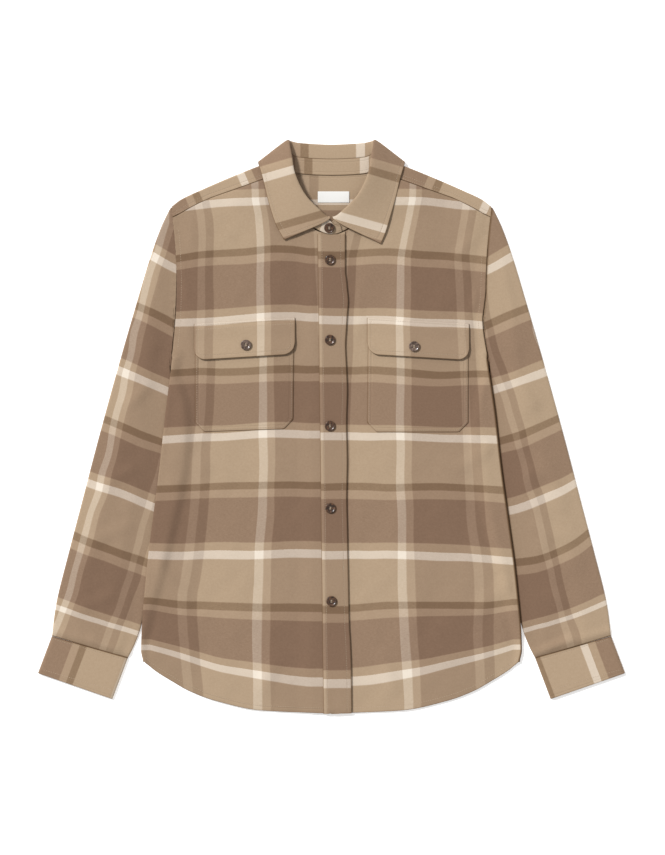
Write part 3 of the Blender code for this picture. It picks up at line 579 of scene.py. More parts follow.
# along the yoke's free edge: x, its distance from the shoulder fold, and x at the back seam
yoke_columns = [(x, unfolded(x, y), foot) for x, y, foot in
                ((0.0, 323.4, 0.0), (22.0, 323.7, 18.0), (43.5, 325.3, 34.0), (55.5, 332.3, 46.0))]
yoke_columns += [(61.2, 4.0, 54.0), (63.6, -11.0, 60.0)]
for x in (66.6, 76.0, 88.0, 100.0, 112.0, 125.0, 137.0, 155.0, 173.0, 184.0, 194.0):
    yoke_columns.append((x, -unfolded(x, read(FRONT_TOP, x) + SEAM), x * 0.985))
yoke_columns.append((float(armhole(CORNER_Y)), -unfolded(armhole(CORNER_Y), CORNER_Y),
                     float(armhole(YOKE_FOOT_Y))))
yoke_columns = np.array([[float(v) for v in row] for row in yoke_columns])
yoke_run = np.concatenate(([0.0], np.cumsum(np.hypot(*np.diff(yoke_columns[:, :2], axis=0).T))))


# points of the yoke that lie on known stripes: inside the neck, and on each shoulder's strip
NECK_STRIPE, STRIP_RIGHT, STRIP_LEFT = (-21.8, 287.9), (-110.7, 315.5), (131.8, 307.1)
STRIP_SLOPE = (0.9135, 0.4067)


def yoke_cut(x, y, from_fold):
    """The check runs up and down inside the neck, and square to the seam on the shoulders."""
    rise = y - NECK_STRIPE[1]
    inside_across = 102.7 + (x - NECK_STRIPE[0]) / 1.03
    inside = inside_across, WHITE_WEFT + rise + 10.0 * np.tanh(rise / 20.0)
    slope_x, slope_y = STRIP_SLOPE
    right = x < 0
    from_x, from_y = (np.where(right, a, b) for a, b in zip(STRIP_RIGHT, STRIP_LEFT))
    dx, dy = x - from_x, y - from_y
    along = dx * slope_x + np.where(right, dy, -dy) * slope_y
    off = np.where(right, dx, -dx) * slope_y - dy * slope_x
    strip = 136.0 + off, np.where(right, 3.2 - 1.03 * along, 72.4 - 0.968 * along)
    on_strip = smooth((60.0 - from_fold) / 60.0) * smooth((np.abs(x) - 58.0) / 10.0)
    return [a + (b - a) * on_strip for a, b in zip(inside, strip)]


def yoke_place(s, t):
    c = 2 * s - 1
    sign = np.where(c < 0, -1.0, 1.0)
    at = np.abs(c) * yoke_run[-1]
    end_x, end, foot_x = (np.interp(at, yoke_run, yoke_columns[:, k]) for k in range(3))
    foot = unfolded(foot_x, YOKE_FOOT_Y)
    fold_in = np.maximum(FOLD_ROWS, end + 6.0)
    fold_out = np.maximum(-FOLD_ROWS, end + 1.0)
    folding = fold_in + (fold_out - fold_in) * (t - 0.5) / 0.25
    on_front = fold_out + (end - fold_out) * (t - 0.75) / 0.25
    from_fold = np.where(t < 0.5, foot + (fold_in - foot) * t / 0.5,
                         np.where(t < 0.75, folding, on_front))
    x = end_x + (foot_x - end_x) * (from_fold - end) / (foot - end)
    _, y, _ = yoke_point(x, from_fold)
    tip = smooth((end_x - 198.0) / 5.0)
    by_armhole = armhole(np.clip(y, UNDERARM_Y, ARMHOLE_TOP[1]))
    x = x + (by_armhole - armhole(np.full_like(y, CORNER_Y))) * tip
    x, y, z = yoke_point(x, from_fold)
    cut = yoke_cut(sign * x, y, from_fold)
    return (sign * x, y, z), cut, np.minimum(np.abs(from_fold - end), np.abs(foot - from_fold))


cloth_for("yoke", 170, 64, yoke_place, CLOTH)

# %% [markdown]
# ## The sleeves and the cuffs
#
# A sleeve is a tube that has been pressed flat. Its grid runs round the tube from the outer fold
# under the sleeve to the inner fold and back over the top, and along it from the armhole to the
# cuff. The folds are small half turns, so the sleeve's two layers lie about a millimetre apart at
# the edges and a little more in the middle.

# %% Sleeve and cuff tubes
# the share of the way round that each flat layer takes: the two folds take the rest
FLAT_SHARE, SLEEVE_RAMP, INNER_RAMP = 0.44, 34.0, 26.0


def across_tube(s):
    """From 0 at the outer fold to 1 at the inner one, under the tube and back over it."""
    under = np.clip(s / FLAT_SHARE, 0, 1)
    over = np.clip((s - 0.5) / FLAT_SHARE, 0, 1)
    return np.where(s < 0.5, under, 1 - over)


def flat_tube(outer, inner, outer_out, inner_out, bulge, s, wall, low, high):
    """Points round flattened tubes. Each edge has a silhouette point and its way out."""
    def fold(edge, out):
        radius = (high(edge[:, 0], edge[:, 1]) - low) / 2
        return edge - out * (radius + wall / 2)[:, None], radius

    outer_centre, outer_r = fold(outer, outer_out)
    inner_centre, inner_r = fold(inner, inner_out)
    share = across_tube(s)
    turn_in = np.clip((s - FLAT_SHARE) / (0.5 - FLAT_SHARE), 0, 1)
    turn_out = np.clip((s - 0.5 - FLAT_SHARE) / (0.5 - FLAT_SHARE), 0, 1)
    plan = outer_centre + (inner_centre - outer_centre) * share[:, None]
    plan[:, 0] += bulge * 4 * share * (1 - share)
    top = high(plan[:, 0], plan[:, 1])
    z = np.where(s < 0.5, low, top)
    on_inner = (s > FLAT_SHARE) & (s < 0.5)
    on_outer = s > 0.5 + FLAT_SHARE
    angle = np.where(on_inner, turn_in, turn_out) * math.pi
    radius = np.where(on_inner, inner_r, outer_r)
    swing = np.where(on_inner | on_outer, np.sin(angle) * radius, 0.0)
    out = np.where(on_inner[:, None], inner_out, outer_out)
    plan = plan + out * swing[:, None]
    z = np.where(on_inner, low + radius * (1 - np.cos(angle)), z)
    z = np.where(on_outer, low + radius * (1 + np.cos(angle)), z)
    return plan[:, 0], plan[:, 1], z


def silhouette(points, share, turn):
    run = path(points, np.minimum(share + 0.01, 1)) - path(points, np.maximum(share - 0.01, 0))
    run /= np.linalg.norm(run, axis=1)[:, None]
    return path(points, share), np.stack((-run[:, 1], run[:, 0]), axis=1) * turn


def sleeve_high(x, y):
    """Middle of the sleeve's upper layer. It puffs up away from the folds and the armhole."""
    from_body = smooth((np.abs(x) - side(y) - 3.0) / SLEEVE_RAMP)
    from_outer = smooth((read(SLEEVE_OUTER, y, 1, 0) - np.abs(x)) / SLEEVE_RAMP)
    from_inner = smooth((np.abs(x) - sleeve_inner(y)) / INNER_RAMP)
    middle = from_body * from_outer * np.where(y < UNDERARM_Y, from_inner, 1.0)
    creased = SLEEVE_PUFF + crease_height(SLEEVE_CREASES, np.abs(x), y)
    puffed = (creased + waves(x, y, SLEEVE_WAVES)) * middle
    return CLOTH * 1.5 + FOLD_GAP + puffed + pucker(x, y)


# %% Where the check falls on the sleeves
# lines of the weft: its place in repeats, its middle's half width and height, its tilt, its bend
SLEEVE_LINES = {
    -1.0: [(-1.0, 200.0, 361.0, 28.0, 0.0), (0.0, 217.5, 211.1, 25.3, 0.0),
           (0.465, 228.7, 138.6, 26.0, 0.0), (1.0, 241.5, 58.0, 24.3, 0.0),
           (1.465, 254.5, -11.0, 21.4, 0.0), (2.0, 269.5, -87.7, 20.0, 0.0),
           (2.465, 283.0, -163.4, 21.5, 0.0), (2.96, 298.0, -245.4, 17.6, 0.0),
           (3.038, 299.0, -252.8, 17.6, 0.0), (3.4, 309.5, -316.7, 15.9, 0.0),
           (4.0, 326.0, -405.0, 16.0, 0.0)],
    1.0: [(-1.0, 200.0, 361.0, 28.0, 0.0), (0.0, 217.5, 209.5, 26.0, 0.0),
          (0.465, 228.7, 136.2, 23.2, 0.001), (1.0, 241.5, 57.2, 20.6, 0.001),
          (1.465, 254.5, -11.1, 21.0, 0.001), (2.0, 269.5, -95.5, 22.3, 0.0029),
          (2.465, 283.0, -169.3, 22.8, 0.004), (2.96, 298.0, -242.6, 18.5, 0.0008),
          (3.038, 299.0, -249.2, 18.5, 0.0008), (3.4, 309.5, -317.1, 14.8, 0.0),
          (4.0, 326.0, -405.0, 15.0, 0.0)],
}
# height, half width: the white stripe down the right sleeve, and the fine pair down the left one
SLEEVE_WARP = {
    -1.0: [(260.0, 211.5), (200.2, 230.5), (168.2, 239.5), (117.0, 252.3), (97.8, 256.2),
           (33.8, 270.0), (-30.0, 284.6), (-49.0, 289.0), (-113.0, 307.7), (-132.6, 313.4),
           (-183.8, 327.4), (-203.0, 333.0), (-273.4, 358.4), (-300.0, 368.0)],
    1.0: [(260.0, 170.0), (168.0, 190.0), (117.0, 200.8), (97.8, 206.2), (33.8, 227.1), (-30.0, 245.4),
          (-49.0, 250.6), (-113.0, 268.0), (-132.6, 272.8), (-183.8, 284.2), (-203.0, 289.5),
          (-273.4, 309.3), (-300.0, 316.5)],
}
SLEEVE_SQUEEZE, SLEEVE_LEAN, SLEEVE_LENGTH = 0.8, 16.0, 575.0
# the cloth stands up above the cuff, in a roll whose middle is this far from it
CUFF_FULLNESS, FULLNESS_AT = 2.2, 9.0
ARM_GAP, ARM_CLOSE = 0.2, 0.75


def sleeve_cut(x, y, sign):
    a, lines = np.abs(x), SLEEVE_LINES[sign]
    index = (215.0 - y) / 150.0
    for _ in range(6):
        out = a - read(lines, index, 0, 1)
        tilt = np.tan(np.radians(read(lines, index, 0, 3)))
        level = y - out * tilt - read(lines, index, 0, 4) * out ** 2
        index = read([(row[2], row[0]) for row in lines], level)
    outward = (a - read(SLEEVE_WARP[sign], y)) * 0.966 / SLEEVE_SQUEEZE
    across = WHITE_WARP - outward if sign < 0 else 96.6 + outward
    across = across + 0.9 * ripple(x, y, 43, 60.0)
    return across, WHITE_WEFT + WEFT_REPEAT * index + 0.6 * ripple(x, y, 44, 60.0)


# %% Sleeves
# the rows crowd towards the armhole
ROW_POWER = 1.15


def sleeve_place(sign):
    down = np.subtract(CUFF_END[0], CUFF_TOP[0]) / math.dist(CUFF_END[0], CUFF_TOP[0])

    def place(s, t):
        outer, outer_out = silhouette(SLEEVE_OUTER, t ** ROW_POWER, 1)
        inner, inner_out = silhouette(SLEEVE_INNER, t ** ROW_POWER, -1)
        near_cuff = smooth((t - 0.9) / 0.1)[:, None]
        last_outer, last_inner = (np.array(p) - down * 0.15 for p in CUFF_TOP)
        end_outer, end_inner = (path(p, np.ones_like(t)) for p in (SLEEVE_OUTER, SLEEVE_INNER))
        outer = outer + (last_outer - end_outer) * near_cuff
        inner = inner + (last_inner - end_inner) * near_cuff
        under_arm = smooth((96 - inner[:, 1]) / 12) * smooth((inner[:, 1] - 40) / 20)
        inner[:, 0] -= UNDERARM_CLOSE * under_arm
        bulge = -ARMHOLE_HOLLOW * (1 - smooth(t * 5))
        x, y, z = flat_tube(outer, inner, outer_out, inner_out, bulge, s, CLOTH, CLOTH / 2,
                            sleeve_high)
        x = x - np.clip(x - side(y) - ARM_GAP, 0.0, ARM_CLOSE) * (1 - smooth(t * 30))
        from_cuff = (1 - t) * SLEEVE_LENGTH
        roll = smooth(1 - np.abs(from_cuff - FULLNESS_AT) / FULLNESS_AT)
        z = z + CUFF_FULLNESS * roll * smooth((z - 1.6) / 1.4)
        # painted shade: the left sleeve darkens beside the body's edge, which shades it, and each
        # sleeve darkens just above its cuff
        from_body = ARM_SHADE * (x - side(y)) if sign > 0 else 60.0
        x = tuck_in(x, y) if sign > 0 else x
        edge = np.minimum(np.minimum(from_body, CUFF_SHADE * from_cuff), SHADE_MOST)
        return (sign * x, y, z), sleeve_cut(x, y, sign), edge

    return place


for side_name, sign in SIDES:
    cloth_for("sleeve_" + side_name, 100, 150, sleeve_place(sign), CLOTH,
              tube=True, soft_edge=0.22, lean=sign * SLEEVE_LEAN)


# %% Cuffs
CUFF_DEEP = 52.0


def cuff_place(sign):
    low = CUFF_CLOTH / 2
    width = math.dist(*CUFF_TOP)

    def place(s, t):
        t = t ** 1.4
        outer, outer_out = silhouette((CUFF_TOP[0], CUFF_END[0]), t, 1)
        inner, inner_out = silhouette((CUFF_TOP[1], CUFF_END[1]), t, -1)
        x, y, z = flat_tube(outer, inner, outer_out, inner_out, 0.0, s, CUFF_CLOTH, low,
                            lambda a, b: np.full_like(a, low + CUFF_CLOTH + CUFF_GAP))
        from_outer = across_tube(s) * width
        down = 111.5 - from_outer if sign < 0 else 5.1 + 0.97 * (from_outer - 36.0)
        edge = np.minimum(t, 1 - t) * CUFF_DEEP
        # painted shade: the cuff's top rows count as close to an edge, so the cuff darkens just under
        # its seam
        return (sign * x, y, z), (112.0 + 50.0 * t, down), np.where(t < 0.06, t * 18.0, edge)

    return place


for side_name, sign in SIDES:
    cloth_for("cuff_" + side_name, 72, 20, cuff_place(sign), CUFF_CLOTH,
              tube=True, soft_edge=0.5, lean=sign * SLEEVE_LEAN)

# %% [markdown]
# ## The button band, pockets and flaps
#
# These are patches: they lie on a front and follow it, a little higher. A flap starts on the
# front at its top edge, passes over the pocket's mouth and curls up at its lower edge.

# %% Button band
# the middle and the top of a patch, above the middle of the front's cloth
PATCH_MIDDLE, PATCH_TOP = (CLOTH + PATCH) / 2 + PATCH_GAP, CLOTH / 2 + PATCH_GAP + PATCH


def band_place(s, t):
    y = BAND_TOP_Y + (hem(np.full_like(t, 22.0)) - BAND_TOP_Y) * t
    left, right = band_edge(y, 1), band_edge(y, 2)
    x = left + (right - left) * s
    y = np.minimum(y, read(FRONT_TOP, np.abs(x)) - 0.5)
    y = np.where(t > 0.995, hem(x), y)
    edge = np.minimum(x - left, right - x)
    z = front_z(x, y, True) + PATCH_MIDDLE - HUG * smooth(1 - edge / 6.0)
    return (x, y, z), (15.5 + (x - left), down_cloth(x, y, "band")), edge


cloth_for("button_band", 16, 210, band_place, PATCH)

# %% Pockets and flaps
POCKET_TOP_DROP, POCKET_CHAMFER, POCKET_SPREAD = 13.0, 12.0, 1.2
FLAP_CORNER, FLAP_CURL, FLAP_DEPTH, FLAP_OVER = 15.0, 2.7, 46.5, 1.4
# (x, top y, foot y) of the centre edge and of the outer edge
POCKETS = {
    "right": ((-48.0, 139.5, -2.4), (-174.6, 131.5, -6.7)),
    "left": ((46.8, 139.3, -6.7), (174.8, 131.5, -6.7)),
}
FLAP_WHITE_X = {"right": -90.4, "left": 87.7}


def pocket_place(name):
    (xc, tc, bc), (xo, to, bo) = POCKETS[name]

    def place(s, t):
        top_x, top_y = xc + (xo - xc) * s, tc + (to - tc) * s - POCKET_TOP_DROP
        foot_x = (xc - POCKET_SPREAD) + (xo - xc + POCKET_SPREAD) * s
        near_side = np.minimum(s, 1 - s) * abs(xo - xc)
        foot_y = bc + (bo - bc) * s + np.maximum(0.0, POCKET_CHAMFER - near_side)
        x, y = top_x + (foot_x - top_x) * t, top_y + (foot_y - top_y) * t
        edge = np.minimum(near_side, y - foot_y)
        z = front_z(x, y, name == "right") + PATCH_MIDDLE - HUG * smooth(1 - edge / 7.0)
        return (x, y, z), body_cut(x, y, name == "right"), edge

    return place


def flap_z(x, y, depth, upper):
    over_pocket = PATCH_GAP + (PATCH + PATCH_GAP) * smooth(depth / (POCKET_TOP_DROP - 4.0))
    curl = FLAP_CURL * smooth(1.6 * depth / FLAP_DEPTH - 0.6)
    return front_z(x, y, upper) + (CLOTH + PATCH) / 2 + over_pocket + curl


def flap_place(name):
    (xc, tc, _), (xo, to, _) = POCKETS[name]
    over = math.copysign(FLAP_OVER, xo)

    def place(s, t):
        x = (xc - over) + (xo - xc + 2 * over) * s
        top = tc + (to - tc) * s
        near_side = np.minimum(s, 1 - s) * abs(xo - xc + 2 * over)
        corner = np.clip(1 - near_side / FLAP_CORNER, 0, 1)
        depth = FLAP_DEPTH - FLAP_CORNER * (1 - np.sqrt(1 - corner ** 2))
        y = top - depth * t
        z = flap_z(x, y, depth * t, name == "right")
        edge = np.minimum(near_side, np.minimum(depth * (1 - t), depth * t + 1.5))
        return (x, y, z), body_cut(x, y, name == "right", FLAP_WHITE_X[name]), edge

    return place


for name in POCKETS:
    cloth_for("pocket_" + name, 44, 44, pocket_place(name), PATCH, soft_edge=0.3)
    cloth_for("flap_" + name, 60, 24, flap_place(name), PATCH)

# %% [markdown]
# ## The collar
#
# A shirt collar is two pieces: a stand round the neck, and a leaf that folds down over it. Each
# row of the table is a section of the collar, from the front to the centre back, with its neck
# seam, the roll where it folds, and the leaf's free edge. The back of the leaf lies under the
# yoke, so the inside of the collar shows there.

# %% Collar sections
COLLAR = np.array([
    # seam x, y      roll x, y, z           edge x, y, z          stand  turn x, y, z
    (0.0, 248.5,     1.4, 267.0, 14.2,      60.8, 239.0, 9.2,     0.80,  -17.0, -13.0, 5.0),
    (26.0, 257.6,    17.9, 278.7, 16.0,     71.7, 259.5, 8.9,     0.78,  0.0, 0.0, 6.0),
    (47.0, 282.4,    35.4, 297.9, 18.5,     80.6, 287.7, 9.4,     0.74,  0.0, 0.0, 7.0),
    (60.2, 314.0,    47.4, 323.5, 20.5,     87.0, 314.6, 10.4,    0.70,  0.0, 0.0, 7.0),
    (62.0, 333.0,    51.6, 345.4, 20.0,     90.8, 328.0, 10.2,    0.66,  0.0, 0.0, 4.0),
    (58.6, 340.5,    55.4, 364.6, 13.8,     93.6, 337.4, 6.4,     0.60,  0.0, 0.0, -3.0),
    (57.4, 337.0,    53.8, 365.2, 8.8,      90.4, 338.4, 1.4,     0.58,  0.0, 0.0, -6.0),
    (54.6, 332.0,    51.0, 364.4, 5.9,      83.0, 325.6, 0.9,     0.58,  0.0, 0.0, -7.0),
    (43.5, 324.4,    38.4, 362.2, 5.2,      56.0, 315.5, 0.85,    0.58,  0.0, 0.0, -6.0),
    (0.0, 321.9,     0.0, 360.2, 4.8,       0.0, 313.3, 0.85,     0.58,  0.0, 0.0, -6.0),
])
COLLAR_BACK, COLLAR_LAP, LEFT_TIP = (4.0, 6.0), (2.6, 0.9), (2.0, -5.0)
STAND_PAST, STAND_END_SHARE, INSIDE_SHARE = -0.5, 0.4, 0.14
# the check's place at the inside of the back of the collar, and its scale round the neck
BEHIND_CUT, NECK_CUT, TAB_CUT, NECK_SCALE = 153.6, 191.4, 302.1, 0.9
LEAF_LEAN, LEAF_DEEP, STAND_DEEP = 15.5, 52.0, 24.0
# points of the leaf that lie on known stripes
LEAF_RIGHT, LEAF_LEFT = (-56.6, 326.3), (48.6, 258.5)
COLLAR_END = len(COLLAR) - 1


def collar_rows(at):
    """The section's values between two rows, with mirror images past both centres."""
    i = np.floor(at).astype(int)
    t = (at - i)[:, None]

    def row(k):
        past = (k < 0) | (k > COLLAR_END)
        inside = np.where(k < 0, -k, np.where(k > COLLAR_END, 2 * COLLAR_END - k, k))
        values = COLLAR[inside].copy()
        for x_column in (0, 2, 5, 9):
            values[:, x_column] *= np.where(past, -1.0, 1.0)
        return values

    before, a, b, after = (row(k) for k in (i - 1, i, i + 1, i + 2))
    columns = np.arange(COLLAR.shape[1])
    at_point = (i == 0)[:, None] & (columns >= 5) & (columns < 8)
    before = np.where(at_point, 2 * a - b, before)
    return hermite(a, b, (b - before) / 2, (after - a) / 2, t)


def collar_point(at, share, sign):
    """Share 0 is the neck seam, 1 the roll and 2 the leaf's edge."""
    rows = collar_rows(at)
    front_part = smooth((COLLAR_BACK[1] - at) / (COLLAR_BACK[1] - COLLAR_BACK[0]))
    seam_x, seam_y = sign * rows[:, 0], rows[:, 1] - 2.1 * smooth(1 - np.abs(at))
    low = back_z(seam_x, seam_y)
    below_fold = np.minimum(seam_y, shoulder(seam_x))
    high = np.where(sign < 0, front_z(seam_x, below_fold, True), front_z(seam_x, below_fold, False))
    seam_z = low + (high - low) * front_part + (CLOTH + COLLAR_CLOTH) / 2 + PATCH_GAP
    seam = np.stack((rows[:, 0], seam_y, seam_z), axis=1)
    roll, edge = rows[:, 2:5].copy(), rows[:, 5:8].copy()
    lapped = LAP * smooth((COLLAR_LAP[0] - at) / (COLLAR_LAP[0] - COLLAR_LAP[1]))
    roll[:, 2] += np.where(sign < 0, lapped, 0.0)
    tip = np.where(sign < 0, 0.0, smooth(1 - at / 1.5))[:, None]
    edge[:, :2] += np.array(LEFT_TIP) * tip
    run = edge - seam
    run[:, 2] = 0.0
    at_roll = run * 0.32 + rows[:, 9:12]
    start = (roll - seam) * 0.9 + (0.0, 0.0, 1.5)
    finish = (edge - roll) * (0.9, 0.9, 0.2)
    share = share[:, None]
    stand = hermite(seam, roll, start, at_roll, share)
    leaf = hermite(roll, edge, at_roll, finish, share - 1.0)
    point = np.where(share <= 1.0, stand, leaf)
    return sign * point[:, 0], point[:, 1], point[:, 2]


# %% Where the check falls on the collar
def along_collar(share):
    """Length along the collar from the centre back."""
    at = np.linspace(0, COLLAR_END, 400)
    line = np.stack(collar_point(at, np.full_like(at, share), np.ones_like(at)), axis=1)
    steps = np.linalg.norm(np.diff(line, axis=0), axis=1)
    return at, np.concatenate((np.cumsum(steps[::-1])[::-1], [0.0]))


stand_at, stand_length = along_collar(0.2)
print(f"round half of the neck: {stand_length[0]:.0f} mm")


def stand_top(at):
    """The stand's share of a section. At the back it shows, and there it is lower."""
    return collar_rows(at)[:, 8] - INSIDE_SHARE * smooth((at - 5.0) / 2.0)


def leaf_cut(x, y, at, share, sign):
    """The collar is cut across the body's grain, so the strong lines of the weft cross it."""
    lean_x, lean_y = math.sin(math.radians(LEAF_LEAN)), math.cos(math.radians(LEAF_LEAN))
    right = TAB_CUT + lean_x * (x - LEAF_RIGHT[0]) - lean_y * (y - LEAF_RIGHT[1])
    left = 5.1 + 0.968 * (lean_x * (x - LEAF_LEFT[0]) + lean_y * (y - LEAF_LEFT[1]))
    behind = BEHIND_CUT + NECK_SCALE * (37.1 - x)
    front_part = np.where(sign < 0, right, left)
    down = front_part + (behind - front_part) * smooth((at - 4.2) / 1.4)
    return 104.0 + share * 30.0, down


# %% Collar leaf and stand
def leaf_place(s, t):
    c = 2 * s - 1
    sign = np.where(c < 0, -1.0, 1.0)
    at = COLLAR_END * (1 - np.abs(c))
    start = stand_top(at) + 0.002
    share = np.where(t < 0.35, start + (1 - start) * t / 0.35, 1 + (t - 0.35) / 0.65)
    x, y, z = collar_point(at, share, sign)
    edge = np.minimum((2 - share) * LEAF_DEEP, at * 26.0)
    return (x, y, z), leaf_cut(x, y, at, share, sign), edge


def stand_place(s, t):
    c = 2 * s - 1
    sign = np.where(c < 0, -1.0, 1.0)
    at = COLLAR_END - (COLLAR_END - STAND_PAST) * np.abs(c)
    height = (stand_top(at) - 0.002) * (1 - (1 - STAND_END_SHARE) * smooth(0.5 - at))
    x, y, z = collar_point(at, height * t, sign)
    behind = BEHIND_CUT + NECK_SCALE * (42.0 - x)
    round_neck = NECK_CUT - NECK_SCALE * sign * np.interp(at, stand_at, stand_length)
    down = round_neck + (behind - round_neck) * smooth((at - 4.5) / 2.5)
    tab = TAB_CUT + 0.5 * (x + 9.0)
    down = down + (tab - down) * smooth(1.3 - at) * (sign < 0)
    return (x, y, z), (118.0 + t * 20.0, down), np.minimum(t, 1 - t) * STAND_DEEP


cloth_for("collar_leaf", 180, 40, leaf_place, COLLAR_CLOTH, soft_edge=0.35)
cloth_for("collar_stand", 150, 14, stand_place, COLLAR_CLOTH, soft_edge=0.3)


# %% Blank label
LABEL_CORNER, LABEL_WIDE, LABEL_LONG = (-17.5, 286.8), 40.2, 14.2


def label_place(s, t):
    x = LABEL_CORNER[0] + LABEL_WIDE * s
    y = LABEL_CORNER[1] + LABEL_LONG * t
    z = back_z(x, y) + (CLOTH + LABEL_CLOTH) / 2 + PATCH_GAP
    edge = np.minimum(np.minimum(s, 1 - s) * LABEL_WIDE, np.minimum(t, 1 - t) * LABEL_LONG)
    return (x, y, z), (x, y), edge


label = cloth("blank_label", 30, 12, label_place, LABEL_CLOTH, soft_edge=0.15)
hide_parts("neck_label")

# %% [markdown]
# ## Seam allowances
#
# Two panels meet edge to edge at the armhole. On the real seam their turned edges lie inside,
# and close it. Here one narrow strip does that: it lies between the layers, under both edges.

# %% Armhole allowances
STRIP_WIDE, STRIP_FOOT_Y, STRIP_TOP_Y, STRIP_LEVEL, STRIP_CLOTH = 7.0, 92.0, 277.0, 1.9, 0.55


def armhole_strip(sign):
    def place(s, t):
        y = STRIP_FOOT_Y + (STRIP_TOP_Y - STRIP_FOOT_Y) * (1 - t)
        x = armhole(y) - STRIP_WIDE / 2 + STRIP_WIDE * s
        x = tuck_in(x, y) if sign > 0 else x
        return (sign * x, y, STRIP_LEVEL), body_cut(sign * x, y, sign < 0), 60.0

    return place


for side_name, sign in SIDES:
    strip = cloth("armhole_allowance_" + side_name, 4, 60, armhole_strip(sign), STRIP_CLOTH,
                  soft_edge=0)
    pieces["allowance_" + side_name] = strip

# %% [markdown]
# ## Topstitching
#
# Each stitch is a short bead of thread that is sunk into the cloth at both ends. A stitch line is
# a row of points on the top of the cloth, and the beads are spaced evenly along it. A bead is an
# icosphere of 20 faces, stretched, because there are many of them.

# %% The stitch maker
STITCH_PITCH, STITCH_LONG, STITCH_WIDE, STITCH_HIGH = 3.0, 2.3, 0.55, 0.34
stitch_lines = []


def sew(x, y, z):
    """Keeps a line of points, in millimetres, on the cloth's top."""
    stitch_lines.append(np.stack(np.broadcast_arrays(x, y, z), axis=1).astype(float))


def in_frame(point):
    """Moves what is drawn in millimetres round a point of the garment to its place in metres."""
    return Matrix.Scale(MM, 4) @ Matrix.Translation(point - Vector((0, PLAN_CENTRE_Y, 0)))


def beads(bm, line):
    lengths = np.concatenate(([0.0], np.cumsum(np.linalg.norm(np.diff(line, axis=0), axis=1))))
    count = int(lengths[-1] / STITCH_PITCH)
    for k in range(count):
        at = (k + 0.5) * lengths[-1] / count
        ends = [Vector([float(np.interp(at + d, lengths, line[:, c])) for c in range(3)])
                for d in (-STITCH_LONG / 2, STITCH_LONG / 2)]
        along = (ends[1] - ends[0]).normalized()
        across = Vector((-along.y, along.x, 0.0)).normalized()
        up = along.cross(across)
        axes = Matrix((along * STITCH_LONG / 2, across * STITCH_WIDE / 2, up * STITCH_HIGH))
        turn = axes.transposed().to_4x4()
        middle = (ends[0] + ends[1]) / 2
        place = in_frame(middle) @ turn
        bmesh.ops.create_icosphere(bm, subdivisions=1, radius=1.0, matrix=place)
    return count


def sewn_thread(name, bm):
    made = linked(name, mesh_from(name, bm))
    made.data.shade_smooth()
    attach(made, "root")
    return made


# %% Stitch lines on the body
HEM_TURN, HEM_END_X, ARMHOLE_INSET = 6.5, 238.0, 6.0
run = np.linspace(0, 1, 160)


def between(start, end):
    return start + (end - start) * run


for upper, start in ((True, 24.0), (False, 30.0)):
    sign = -1.0 if upper else 1.0
    x = between(start, sign * HEM_END_X)
    y = hem(x) + HEM_TURN
    sew(x, y, front_z(x, y, upper) + CLOTH / 2)
    y = between(252.0, 101.0)
    x = sign * (armhole(y) - ARMHOLE_INSET)
    z = front_z(x, y, upper) + side_lift(y, ARMHOLE_INSET, upper) + CLOTH / 2
    sew(tuck_in(x, y), y, z)
y = between(240.0, -361.0)
for column, inward in ((1, 5.5), (2, -5.5)):
    x = band_edge(y, column) + inward
    sew(x, y, front_z(x, y, True) + PATCH_TOP)
for _, sign in SIDES:
    for above in (1.8, 6.0):
        x = between(74.0, 199.0)
        end = -unfolded(x, read(FRONT_TOP, x) + SEAM) + above
        x, y, z = yoke_point(x, end)
        sew(sign * x, y, z + CLOTH / 2)

# %% Stitch lines on the pockets and flaps
POCKET_INSET, FLAP_INSET = 2.4, 5.5
for name, ((xc, tc, bc), (xo, to, bo)) in POCKETS.items():
    upper, inward = name == "right", math.copysign(POCKET_INSET, xo - xc)
    xl, xr = xc - POCKET_SPREAD + inward, xo - inward
    cut = POCKET_CHAMFER - 1.5
    cut_x = inward / POCKET_INSET * cut
    corners = [(xc + inward, tc - 44), (xl, bc + cut + 2), (xl + cut_x, bc + POCKET_INSET),
               (xr - cut_x, bo + POCKET_INSET), (xr, bo + cut + 2), (xr, to - 44)]
    for (x0, y0), (x1, y1) in zip(corners, corners[1:]):
        x, y = between(x0, x1), between(y0, y1)
        sew(x, y, front_z(x, y, upper) + PATCH_TOP)
    over = math.copysign(FLAP_OVER, xo)
    wide = xo - xc + 2 * over
    in_share = FLAP_INSET / abs(wide)
    share = in_share + (1 - 2 * in_share) * run
    near = np.minimum(share, 1 - share) * abs(wide) - FLAP_INSET
    radius = FLAP_CORNER - FLAP_INSET
    corner = np.clip(1 - near / radius, 0, 1)
    lower = share, FLAP_DEPTH - FLAP_INSET - radius * (1 - np.sqrt(1 - corner ** 2))
    down_side = between(3.0, FLAP_DEPTH - FLAP_CORNER)
    for share, depth in (lower, (in_share, down_side), (1 - in_share, down_side)):
        share = np.broadcast_to(share, run.shape)
        x = xc - over + wide * share
        y = tc + (to - tc) * share - depth
        sew(x, y, flap_z(x, y, depth, upper) + PATCH / 2)
    for drop in (1.8, 7.5):
        x = xc - over + wide * (0.015 + 0.97 * run)
        y = tc + (to - tc) * run - drop
        sew(x, y, flap_z(x, y, np.full_like(y, drop), upper) + PATCH / 2)


# %% Stitch lines on the collar and cuffs
def on_collar(at, share, sign):
    """Points on the outside of the collar's cloth."""
    here = np.stack(collar_point(at, share, sign), axis=1)
    ahead = np.stack(collar_point(at + 0.02, share, sign), axis=1) - here
    down = np.stack(collar_point(at, share + 0.02, sign), axis=1) - here
    out = np.cross(ahead, down)
    out /= np.linalg.norm(out, axis=1)[:, None]
    out *= np.where(out[:, 2] < 0, -1.0, 1.0)[:, None]
    sew(*(here + out * COLLAR_CLOTH / 2).T)


